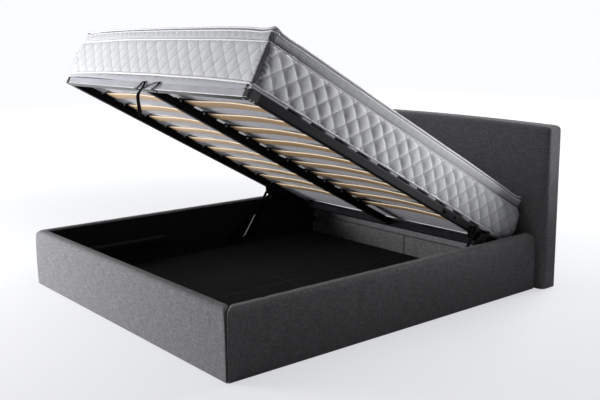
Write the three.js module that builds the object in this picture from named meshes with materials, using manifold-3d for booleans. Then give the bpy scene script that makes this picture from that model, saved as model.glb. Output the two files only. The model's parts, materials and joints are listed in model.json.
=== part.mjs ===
// Upholstered storage bed whose slatted base lifts from the foot, shown raised.
// Millimetres, +Z up. The head is at +Y, the bed's width runs along X, and the
// origin is on the floor, midway between the foot rail's face and the headboard's back.

import * as THREE from 'three';
import { mergeVertices } from 'three/addons/utils/BufferGeometryUtils.js';
import Module from 'manifold-3d';

const wasm = await Module();
wasm.setup();

// Mattress and its pillow top: the platform, the box and the headboard are made to fit it
const mattressWidth = 1800;
const mattressLength = 2000;
const mattressOverhang = 4;
const mattressHeadInset = 12;
const mattressSeat = 61;
const mattressHeight = 196;
const mattressRound = 28;
const quiltPitch = 97;
const quiltDepth = 9;
const quiltRows = 4;
const topHeight = 65;
const topInset = 7;
const topSqueeze = 9;
const topCorner = 40;
const topCrown = 7;

// Bed box and headboard, with the room that the closed platform has inside the box
const mechanismSpace = 40;
const footSpace = 22.1;
const headSpace = 23.9;
const railHeight = 324;
const railThickness = 60;
const railOuterRound = 28;
const railInnerRound = 12;
const railBottomRound = 5;
const railHeadRound = 35;
const mitreGap = 1.5;
const headboardOverhang = 50;
const headboardThickness = 128;
const headboardSideHeight = 928;
const headboardArch = 19;
const headboardFrontRound = 35;
const headboardBackRound = 8;
const headPanelHeight = 140;
const headPanelThickness = 31;
const headPanelRound = 6;

// Floor of the storage box, on a frame of battens
const floorThickness = 6;
const floorSeamAlong = 1110;
const floorClearance = 0.6;
const battenWidth = 45;
const battenHeight = 12;

// Lifting platform: s runs towards the head from the side tubes' foot ends, and n up from
// the tubes' underside. The foot tube leads them, and corner blocks join it to them
const liftAngle = 28.67;
const raisedHeadSetback = 146.77;
const raisedHeadHeight = 218.46;
const closedHeight = 184;
const tubeSize = 40;
const tubeWall = 2;
const tubeRound = 4;
const footLead = 58;
const cornerEdgeRound = 12;
const cornerPlugLength = 18;

// Bearers on the side rails, under the closed platform, with room for felt pads
const bearerWidth = 60;
const feltRoom = 5;
const bearerThickness = 25;
const bearerEnd = 820;

// Slats and their holders
const slatCount = 10;
const firstSlat = 170;
const lastSlatSpace = 305;
const slatWidth = 62;
const slatThickness = 8;
const slatInset = 32;
const slatCentreGap = 16;
const holderBase = 2.4;
const holderWall = 3;
const holderGrip = 32;
const holderOverhang = 4;
const holderTongue = 22;
const holderFlange = 3;
const holderFlangeDrop = 9;
const holderFlangeHeight = 22;
const holderStripWidth = 26;
const rivetRadius = 5;
const rivetHeight = 2.5;
const rivetInset = 9;

// Lift mechanism: the front link's two pivots are placed from the headboard's face and from
// the platform's head end, and the other pivots from them, towards the head and upwards
const frontBaseSetback = 766;
const frontBaseHeight = 72;
const rearBaseAhead = 190;
const rearBaseRise = 85;
const strutBaseAhead = 102;
const strutBaseRise = 3;
const frontTopSetback = 284;
const frontTopHeight = 9;
const rearTopAhead = 40;
const rearTopRise = 28;
const strutTopBehind = 56;
const strutTopRise = 21;
const bracketThickness = 3;
const bracketMargin = 24;
const linkThickness = 3.5;
const layerGap = 0.5;
const frontLinkWidth = 24;
const rearLinkWidth = 20;
const pinRadius = 5;
const studRadius = 7;
const pinHeadRadius = 8;
const pinHeadThickness = 2;
const openPivotPlay = 0.9;
const cylinderRadius = 9;
const cylinderWall = 2;
const cylinderLength = 225;
const cylinderEndGap = 12;
const rodRadius = 4;
const rodEngagement = 30;
const strutEyeRadius = 9;
const strutEyeThickness = 12;
const strutPinRadius = 4;
const strutClearance = 0.7;
const sidePlateFootReach = 331;
const sidePlateHeadReach = 234;
const sidePlateThickness = 3;
const sidePlateTop = 38;
const sidePlateLow = 9;
const webDrop = 35;
const webFootReach = 106;
const webHeadReach = 114;
const boltRadius = 7;
const boltHeight = 3;
const boltLine = 20;
const boltShares = [0.028, 0.184, 0.786, 0.908];

// Corner brackets between side rail and head panel
const cornerBracketArm = 40;
const cornerBracketHeight = 36;
const cornerBracketThickness = 3;
const cornerBracketTop = 4;

// Pull strap, whose two ends are screwed under the foot tube: its route in x and in height
// above the tube's front lower edge
const strapWidth = 12;
const strapThickness = 2.4;
const strapStandOff = 3;
const strapTabSize = 14;
const strapTabReach = 22;
const strapTabThickness = 3;
const strapRoute = [
  [-54, 4], [-37, 5], [-20, 14], [-6, 28], [9, 37], [22, 30], [22, 14], [6, -5], [-10, -21],
  [-18, -38], [-18, -64], [-11, -86], [-5, -108], [-6, -126], [-14, -134], [-21, -122],
  [-24, -104], [-28, -80], [-33, -46], [-27, -26], [-3, -10], [34, 8], [85, 25], [135, 37],
  [157, 36], [153, 24], [132, 12], [113, 4],
];

// Clearances and the fineness of round shapes
const seatGap = 0.3;
const overrun = 5;
const weldTolerance = 1e-4;
const fineSides = 12;
const smallSides = 8;
const cornerSteps = 4;

const halfPlatform = mattressWidth / 2;
const innerHalf = halfPlatform + mechanismSpace;
const halfBed = innerHalf + railThickness;
const mattressLead = mattressOverhang + footLead;
const platformLength = mattressLength - mattressLead + mattressHeadInset;
const boxLength = railThickness + footSpace + footLead + platformLength + headSpace;
const totalLength = boxLength + headboardThickness;
const liftRadians = THREE.MathUtils.degToRad(liftAngle);
const raisedFootY = boxLength - raisedHeadSetback - platformLength * Math.cos(liftRadians);
const raisedFootZ = raisedHeadHeight + platformLength * Math.sin(liftRadians);

const bed = new THREE.Group();
bed.position.y = -totalLength / 2;

function material(color, roughness, metalness) {
  return new THREE.MeshStandardMaterial({ color, roughness, metalness });
}

const upholstery = () => material(0x8d8d8f, 0.95, 0);
const panelCloth = () => material(0x7d7d7d, 0.95, 0);
const blackBoard = () => material(0x1b1b1c, 0.85, 0);
const blackSteel = () => material(0x1c1c20, 0.45, 0.6);
const greySteel = () => material(0xb2b2bc, 0.4, 0.3);
const brightSteel = () => material(0xc9cacd, 0.25, 1);
const blackPlastic = () => material(0x202022, 0.5, 0);
const beech = () => material(0xcfa87c, 0.6, 0);
const mattressCloth = () => material(0xc9cacd, 0.9, 0);
const webbing = () => material(0x141415, 0.9, 0);

// Closed solids from three.js geometry, and back again
function solid(geometry) {
  const bare = geometry.clone();
  bare.deleteAttribute('normal');
  bare.deleteAttribute('uv');
  const merged = mergeVertices(bare, weldTolerance);
  const vertProperties = new Float32Array(merged.getAttribute('position').array);
  const triVerts = new Uint32Array(merged.index.array);
  return new wasm.Manifold(new wasm.Mesh({ numProp: 3, vertProperties, triVerts }));
}

function geometryOf(shape) {
  const { vertProperties, triVerts } = shape.getMesh();
  const geometry = new THREE.BufferGeometry();
  geometry.setAttribute('position', new THREE.BufferAttribute(new Float32Array(vertProperties), 3));
  geometry.setIndex(new THREE.BufferAttribute(new Uint32Array(triVerts), 1));
  geometry.computeVertexNormals();
  return geometry;
}

function joined(parts) {
  return parts.map(solid).reduce((sum, part) => sum.add(part));
}

// The same shape on the bed's other side
function mirrored(geometry) {
  const flipped = geometry.index ? geometry.toNonIndexed() : geometry.clone();
  const position = flipped.getAttribute('position');
  const corners = [0, 2, 1];
  const turned = new Float32Array(position.array.length);
  for (let corner = 0; corner < position.count; corner += 1) {
    const source = corner - (corner % 3) + corners[corner % 3];
    turned[3 * corner] = -position.getX(source);
    turned[3 * corner + 1] = position.getY(source);
    turned[3 * corner + 2] = position.getZ(source);
  }
  const geometryBack = new THREE.BufferGeometry();
  geometryBack.setAttribute('position', new THREE.BufferAttribute(turned, 3));
  geometryBack.computeVertexNormals();
  return geometryBack;
}

function block(low, high) {
  const size = high.map((value, axis) => value - low[axis]);
  const geometry = new THREE.BoxGeometry(...size);
  return geometry.translate(...low.map((value, axis) => value + size[axis] / 2));
}

// An outline in (y, z) or (s, n), drawn out along X
function slab(outline, fromX, toX, curveSegments = cornerSteps) {
  const depth = toX - fromX;
  const geometry = new THREE.ExtrudeGeometry(outline, { depth, bevelEnabled: false, curveSegments });
  const basis = new THREE.Matrix4().makeBasis(
    new THREE.Vector3(0, 1, 0),
    new THREE.Vector3(0, 0, 1),
    new THREE.Vector3(1, 0, 0),
  );
  return geometry.applyMatrix4(basis).translate(fromX, 0, 0);
}

// An outline in (x, z), drawn out along Y
function bar(outline, fromY, toY, curveSegments = cornerSteps) {
  const depth = toY - fromY;
  const geometry = new THREE.ExtrudeGeometry(outline, { depth, bevelEnabled: false, curveSegments });
  const basis = new THREE.Matrix4().makeBasis(
    new THREE.Vector3(1, 0, 0),
    new THREE.Vector3(0, 0, 1),
    new THREE.Vector3(0, -1, 0),
  );
  return geometry.applyMatrix4(basis).translate(0, toY, 0);
}

// A round pin along X, centred on a point of the (y, z) or (s, n) plane
function pin(centreY, centreZ, fromX, toX, radius, sides = fineSides) {
  const geometry = new THREE.CylinderGeometry(radius, radius, toX - fromX, sides);
  return geometry.rotateZ(-Math.PI / 2).translate((fromX + toX) / 2, centreY, centreZ);
}

function roundedRectangle(lowU, lowV, highU, highV, round) {
  const outline = new THREE.Shape();
  outline.moveTo(lowU + round, lowV);
  outline.lineTo(highU - round, lowV);
  outline.absarc(highU - round, lowV + round, round, -Math.PI / 2, 0);
  outline.lineTo(highU, highV - round);
  outline.absarc(highU - round, highV - round, round, 0, Math.PI / 2);
  outline.lineTo(lowU + round, highV);
  outline.absarc(lowU + round, highV - round, round, Math.PI / 2, Math.PI);
  outline.lineTo(lowU, lowV + round);
  outline.absarc(lowU + round, lowV + round, round, Math.PI, 1.5 * Math.PI);
  return outline;
}

function circlePath(centreU, centreV, radius) {
  const path = new THREE.Path();
  path.absarc(centreU, centreV, radius, 0, 2 * Math.PI);
  return path;
}

// A solid skinned over rings of points, with a point in the middle of each end
function loft(rings, startTip, endTip) {
  const count = rings[0].length;
  const points = rings.flat().concat([startTip, endTip]);
  const startIndex = rings.length * count;
  const endIndex = startIndex + 1;
  const index = [];
  for (let ring = 0; ring + 1 < rings.length; ring += 1) {
    for (let step = 0; step < count; step += 1) {
      const next = (step + 1) % count;
      const a = ring * count + step;
      const b = ring * count + next;
      const c = (ring + 1) * count + next;
      const d = (ring + 1) * count + step;
      index.push(a, b, c, a, c, d);
    }
  }
  const last = (rings.length - 1) * count;
  for (let step = 0; step < count; step += 1) {
    const next = (step + 1) % count;
    index.push(startIndex, next, step);
    index.push(endIndex, last + step, last + next);
  }
  const geometry = new THREE.BufferGeometry();
  geometry.setAttribute('position', new THREE.Float32BufferAttribute(points.flat(), 3));
  geometry.setIndex(index);
  geometry.computeVertexNormals();
  return geometry;
}

function addPiece(parent, name, geometry, look) {
  const mesh = new THREE.Mesh(geometry, look);
  mesh.name = name;
  parent.add(mesh);
}

// The right-hand piece is drawn, and the left-hand one mirrors it
function addPair(parent, name, geometry, look) {
  addPiece(parent, `${name}_right`, geometry, look());
  addPiece(parent, `${name}_left`, mirrored(geometry), look());
}

// Upholstered rails: u runs outwards from the inner face, v up
function railOutline(innerU, outward) {
  const u = (distance) => innerU + outward * distance;
  const turn = outward > 0;
  const angle = (value) => (turn ? value : Math.PI - value);
  const outline = new THREE.Shape();
  outline.moveTo(u(0), 0);
  outline.lineTo(u(railThickness - railBottomRound), 0);
  outline.absarc(u(railThickness - railBottomRound), railBottomRound, railBottomRound,
    angle(-Math.PI / 2), angle(0), !turn);
  outline.lineTo(u(railThickness), railHeight - railOuterRound);
  outline.absarc(u(railThickness - railOuterRound), railHeight - railOuterRound, railOuterRound,
    angle(0), angle(Math.PI / 2), !turn);
  outline.lineTo(u(railInnerRound), railHeight);
  outline.absarc(u(railInnerRound), railHeight - railInnerRound, railInnerRound,
    angle(Math.PI / 2), angle(Math.PI), !turn);
  return outline;
}

// Moves the ends of a rail onto the mitre that meets its neighbour at the corner
function mitre(geometry, acrossOf, alongOf, setAlong, startEdge, endEdge) {
  const position = geometry.getAttribute('position');
  for (let vertex = 0; vertex < position.count; vertex += 1) {
    const inset = halfBed - Math.abs(acrossOf(position, vertex));
    const along = alongOf(position, vertex);
    if (startEdge !== null && Math.abs(along - startEdge) < seatGap) {
      setAlong(position, vertex, startEdge + inset);
    } else if (endEdge !== null && Math.abs(along - endEdge) < seatGap) {
      setAlong(position, vertex, endEdge - inset);
    }
  }
  return geometry;
}

function footRail() {
  const ends = halfBed - mitreGap;
  const geometry = slab(railOutline(railThickness, -1), -ends, ends, cornerSteps);
  const depthAt = (position, vertex) => halfBed - position.getY(vertex);
  return mitre(geometry, depthAt, (position, vertex) => position.getX(vertex),
    (position, vertex, value) => position.setX(vertex, value), -ends, ends);
}

function sideRail() {
  const end = boxLength - seatGap;
  const geometry = bar(railOutline(innerHalf, 1), mitreGap, end, cornerSteps);
  const shaped = mitre(geometry, (position, vertex) => position.getX(vertex),
    (position, vertex) => position.getY(vertex),
    (position, vertex, value) => position.setY(vertex, value), mitreGap, null);
  const outline = new THREE.Shape();
  outline.moveTo(-overrun, -overrun);
  outline.lineTo(end + overrun, -overrun);
  outline.lineTo(end + overrun, railHeight - railHeadRound);
  outline.lineTo(end, railHeight - railHeadRound);
  outline.absarc(end - railHeadRound, railHeight - railHeadRound, railHeadRound, 0, Math.PI / 2);
  outline.lineTo(end - railHeadRound, railHeight + overrun);
  outline.lineTo(-overrun, railHeight + overrun);
  const envelope = slab(outline, innerHalf - overrun, halfBed + overrun);
  return geometryOf(solid(shaped).intersect(solid(envelope)));
}

addPiece(bed, 'foot_rail', footRail(), upholstery());
addPair(bed, 'side_rail', sideRail(), upholstery);

// Headboard: one padded slab with an arched top and soft front edges
function headboardRing(y, inset) {
  const sides = 2 * cornerSteps * cornerSteps;
  const ring = [];
  const width = halfBed + headboardOverhang - inset;
  for (let step = 0; step <= sides; step += 1) {
    const share = (2 * step) / sides - 1;
    const height = headboardSideHeight + headboardArch * (1 - share * share) - inset;
    ring.push([width * share, y, height]);
  }
  ring.push([width, y, 0]);
  ring.push([-width, y, 0]);
  return ring;
}

function headboard() {
  const rings = [];
  for (let step = 0; step <= cornerSteps; step += 1) {
    const angle = (step / cornerSteps) * (Math.PI / 2);
    const inset = headboardFrontRound * (1 - Math.sin(angle));
    rings.push(headboardRing(boxLength + headboardFrontRound * (1 - Math.cos(angle)), inset));
  }
  for (let step = 0; step <= 2; step += 1) {
    const angle = (step / 2) * (Math.PI / 2);
    const inset = headboardBackRound * (1 - Math.cos(angle));
    rings.push(headboardRing(totalLength - headboardBackRound * (1 - Math.sin(angle)), inset));
  }
  const middle = headboardSideHeight / 2;
  return loft(rings, [0, boxLength, middle], [0, totalLength, middle]);
}

addPiece(bed, 'headboard', headboard(), upholstery());

// Two low panels close the box in front of the headboard
const headPanelFront = boxLength - seatGap - headPanelThickness;
const headPanelBack = boxLength - seatGap;
const headPanelOutline = roundedRectangle(
  headPanelFront, 0, headPanelBack, headPanelHeight, headPanelRound,
);
const headPanel = slab(headPanelOutline, floorClearance / 2, innerHalf - seatGap);
addPair(bed, 'head_inner_panel', headPanel, panelCloth);

// A frame of battens round the floor's edge and under its cross seam
const frameSide = innerHalf - seatGap;
const frameStart = railThickness + seatGap;
const frameEnd = headPanelFront - seatGap;
const crossBatten = (fromY) => block(
  [-frameSide, fromY, 0], [frameSide, fromY + battenWidth, battenHeight],
);
const sideBatten = (fromX) => block(
  [fromX, frameStart, 0], [fromX + battenWidth, frameEnd, battenHeight],
);
const floorFrame = joined([
  crossBatten(frameStart),
  crossBatten(floorSeamAlong - battenWidth / 2),
  crossBatten(frameEnd - battenWidth),
  sideBatten(-frameSide),
  sideBatten(frameSide - battenWidth),
]);
addPiece(bed, 'floor_frame', geometryOf(floorFrame), blackBoard());

// Four floor panels lie on the frame
const floorLow = battenHeight + seatGap;
const floorHigh = floorLow + floorThickness;
const floorSide = innerHalf - floorClearance;
const floorStart = railThickness + floorClearance;
const floorEnd = headPanelFront - floorClearance;
const footFloor = block(
  [floorClearance / 2, floorStart, floorLow],
  [floorSide, floorSeamAlong - floorClearance / 2, floorHigh],
);
const headFloor = block(
  [floorClearance / 2, floorSeamAlong + floorClearance / 2, floorLow],
  [floorSide, floorEnd, floorHigh],
);
addPair(bed, 'floor_panel_foot', footFloor, blackBoard);
addPair(bed, 'floor_panel_head', headFloor, blackBoard);

// Bearers, just below the closed platform's underside
const bearerTop = closedHeight - feltRoom;
const bearer = block(
  [innerHalf - bearerWidth, railThickness + seatGap, bearerTop - bearerThickness],
  [innerHalf - seatGap, bearerEnd, bearerTop],
);
addPair(bed, 'bearer', bearer, blackBoard);

// Corner brackets, each an angle with one arm on the side rail and one on the head panel
const bracketHigh = headPanelHeight - headPanelRound - cornerBracketTop;
const bracketLow = bracketHigh - cornerBracketHeight;
const bracketWallX = innerHalf - seatGap;
const bracketWallY = headPanelFront - seatGap;
const cornerOutline = [
  block([bracketWallX - cornerBracketThickness, bracketWallY - cornerBracketArm, bracketLow],
    [bracketWallX, bracketWallY, bracketHigh]),
  block([bracketWallX - cornerBracketArm, bracketWallY - cornerBracketThickness, bracketLow],
    [bracketWallX, bracketWallY, bracketHigh]),
];
addPair(bed, 'corner_bracket', geometryOf(joined(cornerOutline)), blackSteel);

// Layers of the mechanism between the side rail's inner face and the platform's side tube:
// the rear link passes outside the front one, which swings across its lower pivot
const bracketOuter = innerHalf - seatGap;
const bracketInner = bracketOuter - bracketThickness;
const rearLinkOuter = bracketInner - layerGap;
const rearLinkInner = rearLinkOuter - linkThickness;
const frontLinkOuter = rearLinkInner - layerGap;
const frontLinkInner = frontLinkOuter - linkThickness;
const strutOuter = frontLinkInner - strutClearance;
const strutX = strutOuter - cylinderRadius;
const strutEyeOuter = strutX + strutEyeThickness / 2;
const strutEyeInner = strutX - strutEyeThickness / 2;
const sidePlateInner = halfPlatform + seatGap;
const sidePlateOuter = sidePlateInner + sidePlateThickness;

// A point of the raised platform, from its own (s, n) to the bed's (y, z)
function raised(s, n) {
  return {
    y: raisedFootY + s * Math.cos(liftRadians) + n * Math.sin(liftRadians),
    z: raisedFootZ - s * Math.sin(liftRadians) + n * Math.cos(liftRadians),
  };
}

const frontBase = { y: boxLength - frontBaseSetback, z: frontBaseHeight };
const rearBase = { y: frontBase.y + rearBaseAhead, z: frontBase.z + rearBaseRise };
const strutBase = { y: frontBase.y + strutBaseAhead, z: frontBase.z + strutBaseRise };
const frontTopS = platformLength - frontTopSetback;
const rearTopS = frontTopS + rearTopAhead;
const rearTopN = frontTopHeight + rearTopRise;
const strutTopS = frontTopS - strutTopBehind;
const strutTopN = frontTopHeight + strutTopRise;
const frontTop = raised(frontTopS, frontTopHeight);
const rearTop = raised(rearTopS, rearTopN);
const strutTop = raised(strutTopS, strutTopN);

// Base bracket: a plate on the side rail, with the pins that the links and the strut turn on.
// The rear link's pin is flush, and the other two stand off on a stud and have a head
function liftBracket() {
  const lowZ = frontBase.z - bracketMargin;
  const highZ = rearBase.z + bracketMargin;
  const plate = new THREE.Shape();
  plate.moveTo(frontBase.y - bracketMargin, lowZ);
  plate.lineTo(rearBase.y + bracketMargin, lowZ);
  plate.lineTo(rearBase.y + bracketMargin, highZ);
  plate.lineTo(rearBase.y - bracketMargin, highZ);
  plate.lineTo(frontBase.y - bracketMargin, frontBase.z + bracketMargin);
  const fixed = bracketInner + seatGap;
  const parts = [
    slab(plate, bracketInner, bracketOuter),
    pin(rearBase.y, rearBase.z, rearLinkInner, fixed, pinRadius),
  ];
  const addHeadedPin = (pivot, studEnd, headOuter, radius) => {
    const headInner = headOuter - pinHeadThickness;
    parts.push(pin(pivot.y, pivot.z, studEnd, fixed, studRadius));
    parts.push(pin(pivot.y, pivot.z, headInner, studEnd + seatGap, radius));
    parts.push(pin(pivot.y, pivot.z, headInner, headOuter, pinHeadRadius));
  };
  addHeadedPin(frontBase, frontLinkOuter + layerGap / 2, frontLinkInner - layerGap / 2, pinRadius);
  addHeadedPin(strutBase, strutEyeOuter + seatGap, strutEyeInner - seatGap, strutPinRadius);
  return geometryOf(joined(parts));
}

addPair(bed, 'lift_bracket', liftBracket(), blackSteel);

// A flat link with round ends and a hole at each pivot
function link(from, to, width, fromX, toX, fromHole, toHole) {
  const length = Math.hypot(to.y - from.y, to.z - from.z);
  const half = width / 2;
  const outline = new THREE.Shape();
  outline.absarc(0, 0, half, Math.PI / 2, 1.5 * Math.PI);
  outline.lineTo(length, -half);
  outline.absarc(length, 0, half, -Math.PI / 2, Math.PI / 2);
  outline.holes.push(circlePath(0, 0, fromHole), circlePath(length, 0, toHole));
  const geometry = slab(outline, fromX, toX, smallSides);
  return geometry.rotateX(Math.atan2(to.z - from.z, to.y - from.y)).translate(0, from.y, from.z);
}

const pinHole = pinRadius + seatGap;
const frontLink = link(frontBase, frontTop, frontLinkWidth, frontLinkInner, frontLinkOuter,
  pinHole, pinHole);
addPair(bed, 'front_link', frontLink, blackSteel);
const rearLink = link(rearBase, rearTop, rearLinkWidth, rearLinkInner, rearLinkOuter,
  pinHole, pinRadius + openPivotPlay);
addPair(bed, 'rear_link', rearLink, blackSteel);

// Gas strut: a rod with its eye on the bracket, and a cylinder that slides over it
const strutLength = Math.hypot(strutTop.y - strutBase.y, strutTop.z - strutBase.z);
const strutAngle = Math.atan2(strutTop.z - strutBase.z, strutTop.y - strutBase.y);
const cylinderEnd = strutLength - cylinderEndGap;
const cylinderStart = cylinderEnd - cylinderLength;

// A strut piece is drawn along +Y from the base pivot, then turned to the strut's slope
function alongStrut(geometry) {
  return geometry.rotateX(strutAngle).translate(strutX, strutBase.y, strutBase.z);
}

function lathedAlongY(profile, sides) {
  const points = profile.map(([radius, along]) => new THREE.Vector2(radius, along));
  return new THREE.LatheGeometry(points, sides);
}

function strutRod() {
  const rodTip = cylinderStart + rodEngagement;
  const rodStart = strutEyeRadius / 2;
  const rodProfile = [[0, rodStart], [rodRadius, rodStart], [rodRadius, rodTip], [0, rodTip]];
  const rod = lathedAlongY(rodProfile, fineSides);
  const half = strutEyeThickness / 2;
  const eye = pin(0, 0, -half, half, strutEyeRadius);
  const hole = pin(0, 0, -half - overrun, half + overrun, strutPinRadius + seatGap);
  const shape = solid(rod).add(solid(eye)).subtract(solid(hole));
  return alongStrut(geometryOf(shape));
}

function strutCylinder() {
  const bore = cylinderRadius - cylinderWall;
  const boreEnd = cylinderEnd - cylinderWall;
  const mouth = rodRadius + strutClearance;
  const lip = cylinderStart + cylinderWall;
  const bodyProfile = [
    [mouth, cylinderStart], [cylinderRadius, cylinderStart], [cylinderRadius, cylinderEnd],
    [0, cylinderEnd], [0, boreEnd], [bore, boreEnd], [bore, lip], [mouth, lip],
    [mouth, cylinderStart],
  ];
  const body = lathedAlongY(bodyProfile, fineSides);
  const half = strutEyeThickness / 2;
  const neckProfile = [
    [0, boreEnd], [rodRadius, boreEnd], [rodRadius, strutLength], [0, strutLength],
  ];
  const neck = lathedAlongY(neckProfile, smallSides);
  const eye = pin(strutLength, 0, -half, half, strutEyeRadius);
  return alongStrut(geometryOf(joined([body, neck, eye])));
}

addPair(bed, 'strut_rod', strutRod(), brightSteel);
addPair(bed, 'strut_cylinder', strutCylinder(), blackSteel);

// Everything below rides on the platform and is drawn in its own (x, s, n)
const platform = new THREE.Group();
platform.position.set(0, raisedFootY, raisedFootZ);
platform.rotation.x = -liftRadians;
bed.add(platform);

// Square tubes, open at both ends
function tubeOutline(lowU, lowV) {
  const outline = roundedRectangle(lowU, lowV, lowU + tubeSize, lowV + tubeSize, tubeRound);
  const innerRound = tubeRound - tubeWall;
  outline.holes.push(roundedRectangle(lowU + tubeWall, lowV + tubeWall,
    lowU + tubeSize - tubeWall, lowV + tubeSize - tubeWall, innerRound));
  return outline;
}

const footTubeEnd = halfPlatform - tubeSize - seatGap;
const headTubeEnd = halfPlatform - seatGap;
const alongTubeEnd = platformLength - tubeSize - seatGap;
const centreTubeStart = tubeSize + seatGap - footLead;
const tubeSteps = 2;
const crossTube = (lowS, end) => slab(tubeOutline(lowS, 0), -end, end, tubeSteps);
const alongTube = (lowX, fromS) => bar(tubeOutline(lowX, 0), fromS, alongTubeEnd, tubeSteps);
addPiece(platform, 'foot_tube', crossTube(-footLead, footTubeEnd), greySteel());
addPiece(platform, 'head_tube', crossTube(platformLength - tubeSize, headTubeEnd), blackSteel());
addPiece(platform, 'centre_tube', alongTube(-tubeSize / 2, centreTubeStart), blackSteel());
addPair(platform, 'side_tube', alongTube(halfPlatform - tubeSize, seatGap), blackSteel);

// Corner blocks, each with a plug in the foot tube and one in the side tube
function cornerBlock() {
  const inner = halfPlatform - tubeSize;
  const plugLow = tubeWall + seatGap;
  const plugHigh = tubeSize - plugLow;
  const plugRound = tubeRound - tubeWall;
  const plan = new THREE.Shape();
  plan.moveTo(inner, -footLead);
  plan.lineTo(halfPlatform - cornerEdgeRound, -footLead);
  plan.absarc(halfPlatform - cornerEdgeRound, cornerEdgeRound - footLead, cornerEdgeRound,
    -Math.PI / 2, 0);
  plan.lineTo(halfPlatform, 0);
  plan.lineTo(inner, 0);
  const prism = new THREE.ExtrudeGeometry(plan, {
    depth: tubeSize, bevelEnabled: false, curveSegments: cornerSteps,
  });
  const sleeve = slab(
    roundedRectangle(-footLead, 0, 0, tubeSize, tubeRound), inner, halfPlatform, tubeSteps,
  );
  const footPlug = slab(
    roundedRectangle(plugLow - footLead, plugLow, plugHigh - footLead, plugHigh, plugRound),
    inner - cornerPlugLength, inner + seatGap, tubeSteps,
  );
  const sidePlug = bar(
    roundedRectangle(inner + plugLow, plugLow, inner + plugHigh, plugHigh, plugRound),
    -seatGap, cornerPlugLength, tubeSteps,
  );
  const body = solid(prism).intersect(solid(sleeve));
  return geometryOf(body.add(solid(footPlug)).add(solid(sidePlug)));
}

addPair(platform, 'corner_cap', cornerBlock(), blackPlastic);

// Side plate: a long strap on the side tube, with a deeper web that carries the upper pivots
function sidePlate() {
  const start = frontTopS - sidePlateFootReach;
  const end = frontTopS + sidePlateHeadReach;
  const webStart = frontTopS - webFootReach;
  const webEnd = frontTopS + webHeadReach;
  const outline = new THREE.Shape();
  outline.moveTo(start, sidePlateLow);
  outline.lineTo(webStart, sidePlateLow);
  outline.lineTo(webStart + webDrop, -webDrop);
  outline.lineTo(webEnd, -webDrop);
  outline.lineTo(webEnd + webDrop, sidePlateLow);
  outline.lineTo(end, sidePlateLow);
  outline.lineTo(end, sidePlateTop);
  outline.lineTo(start, sidePlateTop);
  const studStart = sidePlateOuter - seatGap;
  const parts = [
    slab(outline, sidePlateInner, sidePlateOuter),
    pin(frontTopS, frontTopHeight, studStart, frontLinkInner - layerGap / 2, studRadius),
    pin(frontTopS, frontTopHeight, studStart, frontLinkOuter, pinRadius),
    pin(rearTopS, rearTopN, studStart, rearLinkInner - layerGap / 2, studRadius),
    pin(rearTopS, rearTopN, studStart, rearLinkOuter, pinRadius),
    pin(strutTopS, strutTopN, studStart, strutEyeInner - seatGap, pinRadius),
  ];
  for (const share of boltShares) {
    const along = start + share * (end - start);
    parts.push(pin(along, boltLine, studStart, sidePlateOuter + boltHeight, boltRadius, smallSides));
  }
  return geometryOf(joined(parts));
}

addPair(platform, 'side_plate', sidePlate(), blackSteel);

// Slats: bent strips that stand level in their holders and rise to the mattress between them
const slatLow = tubeSize + seatGap + holderBase + seatGap;
const slatBow = mattressSeat - seatGap - slatThickness - slatLow;
const slatInnerEnd = slatCentreGap / 2;
const slatOuterEnd = halfPlatform - slatInset;
const slatSteps = 10;

function slat(startS) {
  const freeStart = slatInnerEnd + holderGrip;
  const freeLength = slatOuterEnd - holderGrip - freeStart;
  const level = (share) => slatLow + (slatBow * (1 - Math.cos(2 * Math.PI * share))) / 2;
  const lower = [[slatInnerEnd, slatLow]];
  for (let step = 0; step <= slatSteps; step += 1) {
    lower.push([freeStart + (freeLength * step) / slatSteps, level(step / slatSteps)]);
  }
  lower.push([slatOuterEnd, slatLow]);
  const upper = lower.map(([x, n]) => [x, n + slatThickness]).reverse();
  const outline = new THREE.Shape(lower.concat(upper).map(([x, n]) => new THREE.Vector2(x, n)));
  return bar(outline, startS, startS + slatWidth);
}

const slatPitch = (platformLength - lastSlatSpace - slatWidth - firstSlat) / (slatCount - 1);
const slatStarts = Array.from({ length: slatCount }, (_, row) => firstSlat + row * slatPitch);
slatStarts.forEach((start, row) => {
  addPair(platform, `slat_${String(row + 1).padStart(2, '0')}`, slat(start), beech);
});

// Holder rows: a strip along the tube's top with a pocket round each slat's end,
// and a riveted flange on the tube's inner face at the foot side of every pocket
const holderLow = tubeSize + seatGap;
const pocketHigh = slatLow + slatThickness + seatGap + holderWall;

function holderParts(start, endX, inward, tubeFace) {
  const span = (a, b) => [Math.min(a, b), Math.max(a, b)];
  const pocket = span(endX - inward * holderOverhang, endX + inward * holderGrip);
  const cut = span(endX - inward * seatGap, endX + inward * (holderGrip + overrun));
  const flange = span(tubeFace + inward * seatGap, tubeFace + inward * (seatGap + holderFlange));
  const tongue = span(endX - inward * holderOverhang, tubeFace + inward * (seatGap + holderFlange));
  const rivet = span(tubeFace + inward * (seatGap + holderFlange / 2),
    tubeFace + inward * (seatGap + holderFlange + rivetHeight));
  const lowS = start - seatGap - holderWall;
  const highS = start + slatWidth + seatGap + holderWall;
  const tongueHigh = holderLow + holderBase;
  const flangeLow = tubeSize - holderFlangeDrop;
  const flangeHigh = flangeLow + holderFlangeHeight;
  return {
    added: [
      block([pocket[0], lowS, holderLow], [pocket[1], highS, pocketHigh]),
      block([tongue[0], lowS - holderTongue, holderLow], [tongue[1], lowS + seatGap, tongueHigh]),
      block([flange[0], lowS - holderTongue, flangeLow], [flange[1], lowS, flangeHigh]),
      pin(lowS - rivetInset, tubeSize, rivet[0], rivet[1], rivetRadius, smallSides),
    ],
    cut: block([cut[0], start - seatGap, slatLow - seatGap],
      [cut[1], start + slatWidth + seatGap, slatLow + slatThickness + seatGap]),
  };
}

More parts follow.
